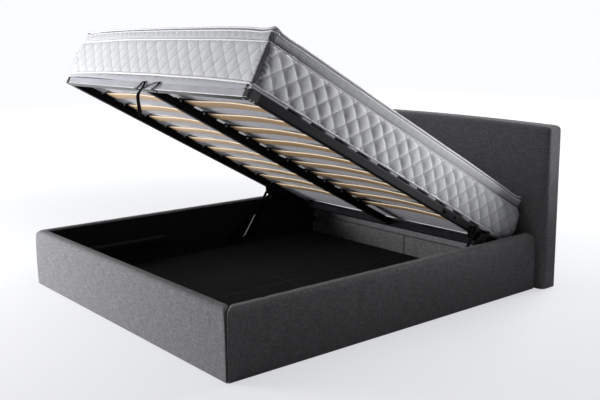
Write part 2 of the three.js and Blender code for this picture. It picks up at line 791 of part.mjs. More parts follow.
function holderRow(stripLow, stripHigh, sides) {
  const first = slatStarts[0] - holderTongue - holderWall;
  const last = slatStarts[slatCount - 1] + slatWidth + holderWall + seatGap;
  const sets = slatStarts.flatMap((start) => sides.map((side) => holderParts(start, ...side)));
  const strip = block([stripLow, first, holderLow], [stripHigh, last, holderLow + holderBase]);
  const whole = joined([strip].concat(sets.flatMap((set) => set.added)));
  const cuts = joined(sets.map((set) => set.cut));
  return geometryOf(whole.subtract(cuts));
}

const sideHolders = holderRow(slatOuterEnd - seatGap, slatOuterEnd + holderStripWidth,
  [[slatOuterEnd, -1, halfPlatform - tubeSize]]);
addPair(platform, 'slat_holder', sideHolders, blackPlastic);
const centreHolders = holderRow(-tubeSize / 2, tubeSize / 2,
  [[slatInnerEnd, 1, tubeSize / 2], [-slatInnerEnd, -1, -tubeSize / 2]]);
addPiece(platform, 'slat_holder_centre', centreHolders, blackPlastic());

// Mattress: its border is quilted in diamonds, sewn where the seams cross
function perimeter(halfX, lowS, highS, round, count) {
  const outline = roundedRectangle(-halfX, lowS, halfX, highS, round);
  outline.closePath();
  const points = outline.getSpacedPoints(count).slice(0, count);
  return points.map((point, step) => {
    const before = points[(step + count - 1) % count];
    const after = points[(step + 1) % count];
    const along = new THREE.Vector2().subVectors(after, before).normalize();
    return { x: point.x, s: point.y, outX: along.y, outS: -along.x };
  });
}

const mattressStart = -mattressLead;
const mattressEnd = mattressStart + mattressLength;

function mattress() {
  const around = 2 * (mattressWidth + mattressLength);
  const count = 4 * Math.round((2 * around) / quiltPitch / 4);
  const base = perimeter(mattressWidth / 2, mattressStart, mattressEnd, mattressRound, count);
  const rings = [];
  for (let row = 0; row <= quiltRows; row += 1) {
    const height = mattressSeat + (mattressHeight * row) / quiltRows;
    const edge = row === 0 || row === quiltRows;
    rings.push(base.map((point, step) => {
      const sewn = (step + row) % 2 === 0;
      const inset = sewn || edge ? quiltDepth : 0;
      return [point.x - point.outX * inset, point.s - point.outS * inset, height];
    }));
  }
  const middle = (mattressStart + mattressEnd) / 2;
  return loft(rings, [0, middle, mattressSeat], [0, middle, mattressSeat + mattressHeight]);
}

// Rings of a pillow seen from the side: the border bulges between its two seams
function pillowTop() {
  const low = mattressSeat + mattressHeight + seatGap;
  const count = fineSides * cornerSteps;
  const levels = cornerSteps + 1;
  const outlineAt = (inset) => perimeter(
    mattressWidth / 2 - inset, mattressStart + inset, mattressEnd - inset, topCorner, count,
  );
  const rings = [];
  for (let level = 0; level <= levels; level += 1) {
    const share = level / levels;
    const ring = outlineAt(topInset + topSqueeze * Math.pow(Math.abs(2 * share - 1), 2));
    rings.push(ring.map((point) => [point.x, point.s, low + (topHeight - topCrown) * share]));
  }
  const crowned = cornerSteps;
  for (let level = 1; level < crowned; level += 1) {
    const share = level / crowned;
    const ring = outlineAt(topInset + topSqueeze + (share * mattressWidth) / cornerSteps);
    const height = low + topHeight - topCrown * Math.pow(1 - share, 2);
    rings.push(ring.map((point) => [point.x, point.s, height]));
  }
  const middle = (mattressStart + mattressEnd) / 2;
  return loft(rings, [0, middle, low], [0, middle, low + topHeight]);
}

addPiece(platform, 'mattress', mattress(), mattressCloth());
addPiece(platform, 'mattress_top', pillowTop(), mattressCloth());

// Pull strap: one length of webbing, with a hanging loop. It leans on the foot tube's face
// above the tube's lower edge, and a tab at each end is screwed to the tube's underside
function pullStrap() {
  const edge = raised(-footLead, 0);
  const slope = Math.tan(liftRadians);
  const back = edge.y - strapStandOff;
  const route = strapRoute.map(([x, rise]) => new THREE.Vector3(x, 0, edge.z + rise));
  const curve = new THREE.CatmullRomCurve3(route);
  const steps = 3 * strapRoute.length;
  const spine = curve.getSpacedPoints(steps);
  const side = (offset) => spine.map((point, step) => {
    const before = spine[Math.max(step - 1, 0)];
    const after = spine[Math.min(step + 1, steps)];
    const along = new THREE.Vector3().subVectors(after, before).normalize();
    return new THREE.Vector2(point.x - along.z * offset, point.z + along.x * offset);
  });
  const half = strapThickness / 2;
  const outline = new THREE.Shape(side(-half).concat(side(half).reverse()));
  const ribbon = bar(outline, back - strapWidth, back);
  const position = ribbon.getAttribute('position');
  for (let vertex = 0; vertex < position.count; vertex += 1) {
    const lean = Math.max(0, position.getZ(vertex) - edge.z) * slope;
    position.setY(vertex, position.getY(vertex) + lean);
  }
  const tab = (point) => {
    const front = back - strapWidth / 2;
    const rear = edge.y + strapTabReach;
    const high = (y) => edge.z - (y - edge.y) * slope - seatGap / Math.cos(liftRadians);
    const profile = new THREE.Shape();
    profile.moveTo(front, high(front) - strapTabThickness);
    profile.lineTo(rear, high(rear) - strapTabThickness);
    profile.lineTo(rear, high(rear));
    profile.lineTo(front, high(front));
    return solid(slab(profile, point.x - strapTabSize / 2, point.x + strapTabSize / 2));
  };
  const whole = solid(ribbon).add(tab(spine[0])).add(tab(spine[steps]));
  return geometryOf(whole);
}

addPiece(bed, 'pull_strap', pullStrap(), webbing());

export default bed;
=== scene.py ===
"""Looks of the storage bed: upholstery, mattress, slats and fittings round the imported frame.

Metres throughout. The row frame has +Z up, the head at +Y and X across the bed. Pieces of the
raised platform are drawn in its own (x, s, n): s runs to the head along the tubes, n upwards.
"""

import json
import math
import bpy
import numpy as np
from mathutils import Matrix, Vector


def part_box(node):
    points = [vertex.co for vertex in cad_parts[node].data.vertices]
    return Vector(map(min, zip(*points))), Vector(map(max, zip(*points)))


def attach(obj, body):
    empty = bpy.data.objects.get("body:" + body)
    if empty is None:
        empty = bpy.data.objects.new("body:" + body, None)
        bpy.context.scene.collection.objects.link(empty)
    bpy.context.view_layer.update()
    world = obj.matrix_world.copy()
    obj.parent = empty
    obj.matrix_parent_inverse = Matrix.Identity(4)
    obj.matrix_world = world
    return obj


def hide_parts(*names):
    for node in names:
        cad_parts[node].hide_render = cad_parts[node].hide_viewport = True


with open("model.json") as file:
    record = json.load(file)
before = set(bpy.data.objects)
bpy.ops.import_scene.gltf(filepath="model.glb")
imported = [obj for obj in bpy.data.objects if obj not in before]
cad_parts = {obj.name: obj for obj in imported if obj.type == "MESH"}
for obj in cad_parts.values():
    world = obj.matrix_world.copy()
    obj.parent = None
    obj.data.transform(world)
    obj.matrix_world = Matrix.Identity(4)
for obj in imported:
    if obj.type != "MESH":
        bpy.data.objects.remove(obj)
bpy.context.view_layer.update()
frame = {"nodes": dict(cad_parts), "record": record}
nodes = frame["nodes"]

# Bed box
HALF_BED = 1.0
RAIL = 0.06
RAIL_HIGH = 0.324
FOOT_Y = -1.121
HEADBOARD_Y = 0.993
MITRE_GAP = 0.003
PANEL_SEAM_Y = -0.011

# Platform and its slats
LIFT = math.radians(28.67)
PLATFORM_Y = -0.86469
PLATFORM_Z = 1.154
FOOT_LEAD = 0.058
PLATE_S = (1.335, 1.9)
SLAT_ROWS = 10
SLAT_START = 0.170
SLAT_PITCH = 0.157
SLAT_WIDE = 0.062
SLAT_THICK = 0.008

# Mattress
HALF_WIDE = 0.9
MATTRESS_S = (-0.062, 1.938)
CORE_N = (0.061, 0.257)
TOP_N = (0.2573, 0.3223)
QUILT = 0.1
TOP_QUILT = 0.16

STUDIO_WHITE = (0.97, 0.98, 1.0, 1.0)


def raised(points):
    """Row frame points from (x, s, n): y = Y + s cos L + n sin L, z = Z - s sin L + n cos L."""
    x, s, n = np.asarray(points, float).reshape(-1, 3).T
    y = PLATFORM_Y + s * math.cos(LIFT) + n * math.sin(LIFT)
    z = PLATFORM_Z - s * math.sin(LIFT) + n * math.cos(LIFT)
    return np.stack([x, y, z], 1)


def unit(vectors):
    """Vectors on the last axis, each divided by its length."""
    vectors = np.asarray(vectors, float)
    return vectors / np.linalg.norm(vectors, axis=-1, keepdims=True)


# Camera, lamps and studio

def facing(back, place, roll=0.0):
    """Matrix at place: right = Z x back and up = back x right, both turned by roll, then back."""
    right = unit(np.cross([0.0, 0.0, 1.0], back))
    up = np.cross(back, right)
    c, s = math.cos(roll), math.sin(roll)
    axes = (right * c + up * s, up * c - right * s, back)
    matrix = Matrix([[*row] for row in zip(*axes)]).to_4x4()
    matrix.translation = place
    return matrix


def photo_camera():
    """The photograph's camera, which looks along -(sin a cos e, -cos a cos e, sin e)."""
    focal_pixels, picture_pixels, sensor = 852.8, 600, 36
    a, e, roll = (math.radians(angle) for angle in (51.03, 10.78, -0.617))
    back = np.array([math.sin(a) * math.cos(e), -math.cos(a) * math.cos(e), math.sin(e)])
    camera = bpy.data.objects.new("camera", bpy.data.cameras.new("camera"))
    camera.data.sensor_width = sensor
    camera.data.lens = focal_pixels / picture_pixels * sensor
    camera.matrix_world = facing(back, (3.808, -2.992, 1.423), roll)
    bpy.context.scene.collection.objects.link(camera)
    bpy.context.scene.camera = camera


photo_camera()
bpy.context.scene.view_settings.view_transform = "Standard"


def lamp(name, place, aim, size, power, spread=180):
    """A soft lamp at place, whose -Z looks at aim and whose light keeps inside spread degrees."""
    data = bpy.data.lights.new(name, "AREA")
    data.shape = "RECTANGLE"
    data.size, data.size_y = size
    data.energy = power
    data.spread = math.radians(spread)
    lit = bpy.data.objects.new(name, data)
    lit.visible_camera = False
    lit.matrix_world = facing(unit(np.subtract(place, aim)), place)
    bpy.context.scene.collection.objects.link(lit)


lamp("key", (-2.9, -3.75, 0.95), (-0.1, -1.0, 0.6), (2.2, 1.5), 270)
lamp("right", (2.6, 3.4, 0.4), (0.92, -0.25, 1.12), (0.5, 0.4), 3.6, 26)
lamp("far_right", (3.1, 1.6, 0.3), (0.92, 0.36, 0.86), (0.5, 0.4), 0.42, 27)
lamp("top", (-0.2, 0.3, 4.6), (0, 0.0, 0.5), (3.0, 3.0), 42)
lamp("rear", (0.5, 4.5, 3.1), (0.1, 0.3, 0.8), (2.6, 2.2), 150)


def add(tree, kind, links=None, out=0, stops=(), **settings):
    """Adds one shader node, fills or links its inputs, and returns one of its outputs.

    settings are the node's own properties, and stops a ramp's (share, hex code) pairs.
    """
    made = tree.nodes.new("ShaderNode" + kind)
    for key, value in settings.items():
        setattr(made, key, value)
    for key, value in (links or {}).items():
        if isinstance(value, bpy.types.NodeSocket):
            tree.links.new(value, made.inputs[key])
        else:
            made.inputs[key].default_value = value
    for _ in stops[2:]:
        made.color_ramp.elements.new(0.5)
    for number, (share, code) in enumerate(stops):
        made.color_ramp.elements[number].position = share
        made.color_ramp.elements[number].color = linear(code)
    return made.outputs[out] if made.outputs else None


def linear(code):
    """Linear colour of an sRGB hex code: c / 12.92, or ((c + 0.055) / 1.055) ** 2.4."""
    parts = [int(code[i:i + 2], 16) / 255 for i in (1, 3, 5)]
    return [p / 12.92 if p <= 0.04045 else ((p + 0.055) / 1.055) ** 2.4 for p in parts] + [1.0]


def seen_ray(tree):
    """1 for rays that show a background: from the camera, mirrored, or through a surface."""
    ray = add(tree, "LightPath").node.outputs
    seen = add(tree, "Math", {0: ray["Is Camera Ray"], 1: ray["Is Glossy Ray"]},
               operation="MAXIMUM")
    return add(tree, "Math", {0: seen, 1: ray["Is Transmission Ray"]}, operation="MAXIMUM")


def studio(name, lit_level):
    """A white background, which lights the bed at lit_level of the strength it is seen with."""
    world = bpy.data.worlds.new(name)
    bpy.context.scene.world = world
    world.use_nodes = True
    tree = world.node_tree
    tree.nodes.clear()
    level = add(tree, "MapRange", {"Value": seen_ray(tree), "To Min": lit_level})
    sky = add(tree, "Background", {"Color": STUDIO_WHITE, "Strength": level})
    add(tree, "OutputWorld", {"Surface": sky})


studio("studio", 0.055)


# Materials

def shader(name, roughness, metallic=0.0, sheen=0.0, coat=0.0, specular=0.5):
    """A material with its constants set directly on its Principled shader's sockets."""
    made = bpy.data.materials.new(name)
    made.use_nodes = True
    main = made.node_tree.nodes["Principled BSDF"]
    for socket, value in (("Roughness", roughness), ("Metallic", metallic),
                          ("Specular IOR Level", specular), ("Sheen Weight", sheen),
                          ("Sheen Roughness", 0.5), ("Coat Weight", coat),
                          ("Coat Roughness", 0.3)):
        main.inputs[socket].default_value = value
    return made, made.node_tree, main


def grain(tree, sizes, source="UV", detail=2.0, roughness=0.5):
    """Noise whose grains measure sizes (metres along each axis), on UV or Object places."""
    places = add(tree, "TexCoord", out=source)
    scaled = add(tree, "Mapping", {"Vector": places, "Scale": [1 / size for size in sizes]})
    return add(tree, "TexNoise", {"Vector": scaled, "Scale": 1.0, "Detail": detail,
                                  "Roughness": roughness})


def blend(tree, *terms):
    """Sum of (share, socket) terms by multiply-add nodes."""
    total = 0.0
    for share, socket in terms:
        total = add(tree, "Math", {0: socket, 1: share, 2: total}, operation="MULTIPLY_ADD")
    return total


def finish(tree, main, colour, *bumps):
    """Links the colour, and lays (height, metres) bumps one over the other."""
    tree.links.new(colour, main.inputs["Base Color"])
    under = None
    for height, depth in bumps:
        links = {"Height": height, "Distance": depth, "Strength": 1.0}
        if under:
            links["Normal"] = under
        under = add(tree, "Bump", links)
    tree.links.new(under, main.inputs["Normal"])


def woven(name, codes, pitch, slub, depth, sheen=0.05, source="UV"):
    """Plain weave: threads of that pitch both ways, streaked by thick and thin yarns.

    Colour follows four noises, fine and coarse, each drawn out 9 to 14 times along one thread
    direction, and height the larger of two sine bands. Threads and slubs are drawn a few times
    coarser than real yarn, so that they show.
    """
    made, tree, main = shader(name, 0.95, sheen=sheen, specular=0.2)
    warp = grain(tree, (slub, 9 * slub, slub), source)
    weft = grain(tree, (9 * slub, slub, slub), source)
    long_warp = grain(tree, (2.6 * slub, 36 * slub, 2.6 * slub), source)
    long_weft = grain(tree, (30 * slub, 2.2 * slub, 2.2 * slub), source)
    yarn = blend(tree, (0.26, warp), (0.32, weft), (0.16, long_warp), (0.26, long_weft))
    colour = add(tree, "ValToRGB", {"Fac": yarn}, stops=list(zip((0.42, 0.5, 0.58), codes)))
    places = add(tree, "TexCoord", out=source)
    bands = [add(tree, "TexWave", {"Vector": places, "Scale": math.pi / 10 / pitch,
                                   "Distortion": 0.6, "Detail": 1.0},
                 out="Fac", bands_direction=direction) for direction in ("X", "Y")]
    threads = add(tree, "Math", {0: bands[0], 1: bands[1]}, operation="MAXIMUM")
    finish(tree, main, colour, (threads, depth), (yarn, 4 * depth))
    return made


def board_cloth():
    """Black cloth bonded to the floor boards, drawn paler along the seams between them.

    The pale lines follow x = 0 and y = PANEL_SEAM_Y and fade out 4 mm beside them.
    """
    made = woven("black_board_cloth", ("#08080a", "#101012", "#1c1c20"), 0.0012, 0.004, 0.0002,
                 0.0, "Object")
    tree, main = made.node_tree, made.node_tree.nodes["Principled BSDF"]
    colour = main.inputs["Base Color"]
    places = add(tree, "SeparateXYZ", {0: add(tree, "TexCoord", out="Object")}).node.outputs
    past = add(tree, "Math", {0: places[1], 1: -PANEL_SEAM_Y}, operation="ADD")
    off_x = add(tree, "Math", {0: places[0]}, operation="ABSOLUTE")
    off_y = add(tree, "Math", {0: past}, operation="ABSOLUTE")
    off = add(tree, "Math", {0: off_x, 1: off_y}, operation="MINIMUM")
    pale = add(tree, "MapRange", {"Value": off, "From Min": 0.004, "From Max": 0.0015})
    mixed = add(tree, "Mix", {0: pale, 6: colour.links[0].from_socket, 7: linear("#3c3c40")}, 2,
                data_type="RGBA")
    tree.links.new(mixed, colour)
    return made


board = board_cloth()
# Heather upholstery cloth, woven of dark and light grey yarns with slubs both ways
heather = woven("heather_woven_cloth", ("#636366", "#78787a", "#8f8f92"), 0.0018, 0.0019, 0.0002)
# Same mill's plainer cloth on the low head panels
panel_weave = woven("grey_panel_cloth", ("#555557", "#6c6c6e", "#848486"), 0.0018, 0.0022, 0.0002)
# Black lining cloth glued inside the box
lining = woven("black_lining_cloth", ("#0b0b0c", "#141416", "#222225"), 0.0012, 0.003, 0.0002, 0.0)
# Woven polyester strap
webbing = woven("black_strap_webbing", ("#0d0d0e", "#19191b", "#2c2c30"), 0.0011, 0.002, 0.0004,
                0.1)


def knitted(name, codes, sewn=None, diamond=None, ribs=None, shade=0.0):
    """Knitted mattress cloth: soft colour noise over loops of 2.4 mm, coarser than real.

    sewn colours pinched seams and painted shade, wholly where the mesh's attribute of that
    name is 1. diamond = (across, along) adds needle lines, where u / across + v / along or
    u / across - v / along is a whole number, at 0.58 of it, darkened as painted shade in their
    grooves. ribs = (pitch, depth) adds sine bands across U, whose valleys darken by shade as
    painted shade.
    """
    made, tree, main = shader(name, 0.9, sheen=0.1, specular=0.25)
    cloud = grain(tree, (0.004, 0.004, 0.004))
    colour = add(tree, "ValToRGB", {"Fac": cloud}, stops=list(zip((0.4, 0.6), codes)))
    places = add(tree, "TexCoord", out="UV")
    loops = add(tree, "TexVoronoi", {"Vector": places, "Scale": 420.0}, out="Distance")
    bumps = [(loops, 0.0005)]
    marks = []
    # Seams and painted shade, from the mesh's attribute
    if sewn:
        marks.append(add(tree, "Attribute", out="Fac", attribute_name="sewn"))
    if diamond:
        scaled = add(tree, "Mapping", {"Vector": places,
                                       "Scale": (1 / diamond[0], 1 / diamond[1], 1.0)})
        parts = add(tree, "SeparateXYZ", {"Vector": scaled}).node.outputs
        # Needle lines, darkened as painted shade in their grooves
        for way in ("ADD", "SUBTRACT"):
            both = add(tree, "Math", {0: parts[0], 1: parts[1]}, operation=way)
            apart = add(tree, "Math", {0: both, 1: 0.5}, operation="PINGPONG")
            marks.append(add(tree, "MapRange", {"Value": apart, "From Min": 0.034,
                                                "From Max": 0.006, "To Max": 0.58},
                             interpolation_type="SMOOTHSTEP"))
    if ribs:
        band = add(tree, "TexWave", {"Vector": places, "Scale": math.pi / 10 / ribs[0],
                                     "Distortion": 2.5, "Detail": 2.0, "Detail Scale": 0.4},
                   out="Fac")
        bumps.append((band, ribs[1]))
        # Painted shade in the rib valleys
        if shade:
            marks.append(blend(tree, (-shade, band), (shade, 1.0)))
    dark = 0.0
    for mark in marks:
        dark = add(tree, "Math", {0: mark, 1: dark}, operation="MAXIMUM")
    if marks:
        colour = add(tree, "Mix", {0: dark, 6: colour, 7: linear(sewn)}, 2, data_type="RGBA")
    finish(tree, main, colour, *bumps)
    return made


# Quilted damask knit of the border and the top, its corner seams and needle lines darkened with
# painted shade
knit = knitted("quilted_knit", ("#cbcccf", "#dadbde"), "#3c3c41", (QUILT, 0.098))
top_knit = knitted("quilted_top_knit", ("#cbcdd1", "#dadbdf"), "#6a6a70", (TOP_QUILT, TOP_QUILT))
# The same knit gathered into fine pleats round the pillow top, with painted shade in the pleat
# valleys, under the upper piping, at the border's foot, in the corner folds and near the corners
pleated = knitted("pleated_knit", ("#c4c5c9", "#d8d9dc"), "#333338", ribs=(0.0105, 0.0012),
                  shade=0.16)
# Plain knit of the bottom, with fine ribs
ribbed = knitted("ribbed_underside", ("#b4b5be", "#c8c9d2"), ribs=(0.006, 0.0008))
# Plain pale ticking that shows above the foot tube, with painted shade along its top under the
# piping
ticking = knitted("plain_ticking", ("#acadb3", "#c0c1c7"), "#515157")
# Satin tape rolled over the seams
piping = knitted("satin_piping", ("#ececee", "#f6f6f7"), ribs=(0.004, 0.0003))


def coated(name, codes, roughness, peel, depth, metallic=0.0, coat=0.0, under=None, specular=0.5):
    """Painted, moulded or polished surface: peel and depth in metres give its orange peel.

    Roughness = roughness + 0.18 (noise - 0.5), so worn and handled areas shine unevenly. Where
    under is given, faces that look down along the platform's -n take that colour as painted
    shade. The black parts' specular is under the real 0.5, or they would mirror the pale studio.
    """
    made, tree, main = shader(name, roughness, metallic, 0.0, coat, specular)
    cloud = grain(tree, (0.11, 0.11, 0.11), "Object", 4.0)
    colour = add(tree, "ValToRGB", {"Fac": cloud}, stops=list(zip((0.3, 0.7), codes)))
    # Painted shade: faces that look down take under's colour
    if under:
        way = add(tree, "VectorMath", {0: add(tree, "TexCoord", out="Normal"),
                                       1: (0.0, -math.sin(LIFT), -math.cos(LIFT))},
                  out="Value", operation="DOT_PRODUCT")
        down = add(tree, "MapRange", {"Value": way, "From Min": 0.6, "From Max": 0.8})
        colour = add(tree, "Mix", {0: down, 6: colour, 7: linear(under)}, 2, data_type="RGBA")
    uneven = blend(tree, (0.18, cloud), (1.0, roughness - 0.09))
    tree.links.new(uneven, main.inputs["Roughness"])
    finish(tree, main, colour, (grain(tree, (peel, peel, peel), "Object"), depth))
    return made


# Steel tubes, powder coated in satin black
black_steel = coated("black_powder_coat", ("#121215", "#1c1c21"), 0.5, 0.0012, 0.00012,
                     specular=0.05)
# Mechanism's links and plates, in matt black paint
matt_black = coated("matt_black_paint", ("#0c0c0e", "#151518"), 0.5, 0.0012, 0.00012,
                    specular=0.03)
# Foot tube, drawn lilac grey as a painted reflection of the foot-side lamp, its underside dark as
# painted shade
grey_steel = coated("lilac_grey_lacquer", ("#97979f", "#a8a8b0"), 0.38, 0.0016, 0.00012,
                    coat=0.3, under="#141417")
# Injection-moulded black parts
black_plastic = coated("moulded_black_plastic", ("#0c0c0e", "#141417"), 0.34, 0.0009, 0.00008,
                       specular=0.25)
# Polished strut rods
bright_steel = coated("polished_steel", ("#cfd0d3", "#e4e5e8"), 0.34, 0.0007, 0.00004, 1.0)
# Rivet and screw heads, pale and chalky: a painted glint of their metal, bright from every side
painted_glint_zinc = coated("zinc_flake_coat", ("#d3d4d7", "#e6e7ea"), 0.5, 0.0007, 0.00004)


def beech_wood(name, stops, layers=None):
    """Beech strip: grain drawn out along X and short darker flecks.

    Colour follows noise of 62 by 3 mm, a finer noise of 12 by 0.6 mm, and on sawn edges also
    veneers, layers metres thick.
    """
    made, tree, main = shader(name, 0.5, coat=0.25)
    lines = grain(tree, (0.0625, 0.003, 0.003), detail=4.0, roughness=0.6)
    flecks = grain(tree, (0.012, 0.0006, 0.0006), detail=1.0)
    if layers:
        band = add(tree, "TexWave", {"Vector": add(tree, "TexCoord", out="UV"),
                                     "Scale": math.pi / 10 / layers, "Distortion": 0.3},
                   out="Fac", bands_direction="Y")
        mixed = blend(tree, (0.42, lines), (0.18, flecks), (0.4, band))
    else:
        mixed = blend(tree, (0.7, lines), (0.3, flecks))
    finish(tree, main, add(tree, "ValToRGB", {"Fac": mixed}, stops=stops), (mixed, 0.0002))
    return made


# Lacquered face of the slats, and their sawn edges in veneer layers, drawn cream pale as a painted
# highlight
beech = beech_wood("lacquered_beech", [(0.3, "#b08d64"), (0.5, "#c9a77e"), (0.7, "#dcc19b")])
beech_highlight_edge = beech_wood("laminated_beech_edge",
                        [(0.25, "#d9c3a0"), (0.5, "#eadcc4"), (0.75, "#f6ecd9")], 0.0016)


def pale_floor():
    """Pale floor, which keeps the bed's shadow and glows only for rays that show it.

    The glow grows from 0.6 within 2.2 m of the middle to 1 past 6 m, so the far floor is white.
    """
    made, tree, main = shader("pale_studio_floor", 0.9)
    cloud = grain(tree, (1.7, 1.7, 1.7), "Object")
    colour = add(tree, "ValToRGB", {"Fac": cloud}, stops=[(0.3, "#a2a2a4"), (0.7, "#a6a6a8")])
    tree.links.new(colour, main.inputs["Base Color"])
    far = add(tree, "VectorMath", {0: add(tree, "TexCoord", out="Object")}, out="Value",
              operation="LENGTH")
    level = add(tree, "MapRange", {"Value": far, "From Min": 2.2, "From Max": 6.0, "To Min": 0.6},
                interpolation_type="SMOOTHSTEP")
    glow = add(tree, "Math", {0: seen_ray(tree), 1: level}, operation="MULTIPLY")
    tree.links.new(glow, main.inputs["Emission Strength"])
    main.inputs["Emission Color"].default_value = STUDIO_WHITE
    return made


# Mesh making

def grid_faces(rows, columns, close_rows=False, close_columns=False):
    """Quads (r, c), (r, c + 1), (r + 1, c + 1), (r + 1, c) of a grid kept row by row."""
    r, c = np.indices((rows - (not close_rows), columns - (not close_columns))).reshape(2, -1)
    r2, c2 = (r + 1) % rows, (c + 1) % columns
    return np.stack([r * columns + c, r * columns + c2, r2 * columns + c2, r2 * columns + c], 1)


def volume(points, faces):
    """Signed volume of a closed skin: sum over its triangles of a . (b x c) / 6."""
    triangles = np.array([(f[0], *pair) for f in faces for pair in zip(f[1:], f[2:])])
    a, b, c = (points[corner] for corner in triangles.T)
    return float((a * np.cross(b, c)).sum()) / 6


def piece(name, points, faces, paints, body, uv=None, corner_uv=None, index=None,
          values=None):
    """One mesh object: faces are turned outwards, and it rides on body with its slot.

    uv is per point and corner_uv per face corner, in metres; without them UV is x and y. index
    gives each face's paint, and values are point attributes.
    """
    faces = [list(map(int, f)) for f in faces]
    turned = volume(points - points.mean(0), faces) < 0
    if turned:
        faces = [f[::-1] for f in faces]
    if corner_uv is None:
        corner_uv = (points[:, :2] if uv is None else uv)[np.concatenate(faces)]
    elif turned:
        corner_uv = corner_uv[:, ::-1]
    data = bpy.data.meshes.new(name)
    data.from_pydata(points.tolist(), [], faces)
    layer = data.uv_layers.new(name="UVMap")
    layer.data.foreach_set("uv", corner_uv.astype(np.float32).ravel())
    for key, value in (values or {}).items():
        attribute = data.attributes.new(key, "FLOAT", "POINT")
        attribute.data.foreach_set("value", np.asarray(value, np.float32))
    for paint in paints:
        data.materials.append(paint)
    if index is not None:
        data.polygons.foreach_set("material_index", np.asarray(index, np.int32))
    data.polygons.foreach_set("use_smooth", [True] * len(faces))
    data.update()
    made = bpy.data.objects.new(name, data)
    bpy.context.scene.collection.objects.link(made)
    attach(made, body)
    return made


def capped(rings):
    """Points and faces of rings (count, ring, 3) skinned in order, with a fan at each end."""
    count, around = rings.shape[:2]
    points = np.concatenate([rings.reshape(-1, 3), rings[:1].mean(1), rings[-1:].mean(1)])
    faces = [list(f) for f in grid_faces(count, around, close_columns=True)]
    last = (count - 1) * around
    for k in range(around):
        n = (k + 1) % around
        faces.append([count * around, n, k])
        faces.append([count * around + 1, last + k, last + n])
    return points, faces


def with_fans(u, v):
    """UV of a capped skin's points, whose two fan centres take the first and last point's."""
    uv = np.stack([u.ravel(), v.ravel()], 1)
    return np.concatenate([uv, uv[:1], uv[-1:]])


def way_along(points):
    """Way along the broken line through the points, at each of them."""
    return np.concatenate([[0], np.cumsum(np.linalg.norm(np.diff(points, axis=0), axis=1))])


def steps(low, high, step, fine=(), edge=0.0):
    """Values from low to high about step apart, with extra ones fine x edge from each end."""
    count = max(2, int(round((high - low - 2 * edge) / step)) + 1)
    inner = np.linspace(low + edge, high - edge, count)
    ends = np.array(fine) * edge
    return np.unique(np.round(np.concatenate([low + ends, inner, high - ends]), 7))


# Shares of a rounded edge's width at which its grid has points
FINE = (0.0, 0.04, 0.13, 0.26, 0.42, 0.6, 0.8)


def rounded_block(axes, radii):
    """Points, quads and UV corners of a box on three arrays of grid values, its edges rounded.

    For each point q: c = q clamped to the box less its radii, d = (q - c) / radii, and
    q becomes c + radii d max|d| / |d|. radii is ((low, high) per axis).
    """
    points, quads, uvs = [], [], []
    offset = 0
    for axis in range(3):
        a, b = [k for k in range(3) if k != axis]
        for side in (0, -1):
            u, v = np.meshgrid(axes[a], axes[b], indexing="ij")
            grid = np.zeros((u.size, 3))
            grid[:, a], grid[:, b], grid[:, axis] = u.ravel(), v.ravel(), axes[axis][side]
            faces = grid_faces(*u.shape)
            if (axis == 1) != (side == 0):
                faces = faces[:, ::-1]
            points.append(grid)
            quads.append(faces + offset)
            uvs.append(grid[:, [a, b]][faces])
            offset += len(grid)
    points, index = np.unique(np.round(np.concatenate(points), 6), axis=0, return_inverse=True)
    quads = index.reshape(-1)[np.concatenate(quads)]
    low, high = (np.array([values[k] for values in axes]) for k in (0, -1))
    small, large = np.transpose(radii)
    centre = np.clip(points, low + small, high - large)
    reach = points - centre
    scale = np.where(reach < 0, small, large)
    d = reach / scale
    length = np.linalg.norm(d, axis=1, keepdims=True)
    largest = np.abs(d).max(1, keepdims=True)
    moved = centre + d / np.maximum(length, 1e-9) * largest * scale
    return np.where(length > 1e-9, moved, points), quads, np.concatenate(uvs)


def square_to(path, wide, closed):
    """Unit vectors square to a path at its points: side = ahead x wide, up = side x ahead."""
    ahead = np.roll(path, -1, 0) - np.roll(path, 1, 0)
    if not closed:
        ahead[0], ahead[-1] = path[1] - path[0], path[-1] - path[-2]
    ahead = unit(ahead)
    side = unit(np.cross(ahead, wide))
    return side, np.cross(side, ahead)


def around_path(path, side, up, out, over):
    """Rings path + out side + over up, with out and over given once round the section."""
    return path[:, None] + out[None, :, None] * side[:, None] + over[None, :, None] * up[:, None]


def creases(a, b, seed, count, spread, tall, depth):
    """Sum of count soft folds, depth exp(-((a - a0 - k (b - b0)) / w)^2 - ((b - b0) / h)^2)."""
    rng = np.random.default_rng(seed)
    total = np.zeros_like(a)
    for _ in range(count):
        a0, b0 = rng.uniform(*spread), rng.uniform(*tall)
        k, w = rng.uniform(-0.18, 0.18), rng.uniform(0.006, 0.02)
        h, d = rng.uniform(0.07, 0.2), depth * rng.uniform(-1.0, 0.6)
        total += d * np.exp(-((a - a0 - k * (b - b0)) / w) ** 2 - ((b - b0) / h) ** 2)
    return total


def smooth(low, high, value):
    """0 below low, 1 above high, 3 t^2 - 2 t^3 between."""
    t = np.clip((value - low) / (high - low), 0, 1)
    return t * t * (3 - 2 * t)


def dome(place, normal, radius, height, around=14, layers=4):
    """A closed head at (x, s, n): rings of radius R cos t at height H (0.25 + 0.75 sin t)."""
    centre, normal = raised(place)[0], unit(normal)
    side = unit(np.cross(normal, [0.0, 0.0, 1.0] if abs(normal[2]) < 0.9 else [1.0, 0.0, 0.0]))
    up = np.cross(normal, side)
    t = np.arange(around) * 2 * np.pi / around
    circle = np.cos(t)[:, None] * side + np.sin(t)[:, None] * up
    shares = np.linspace(0, 1, layers + 1)[:-1] * np.pi / 2
    rings = [centre + radius * circle]
    rings += [centre + radius * math.cos(s) * circle + height * (0.25 + 0.75 * math.sin(s)) * normal
              for s in shares]
    return capped(np.array(rings))


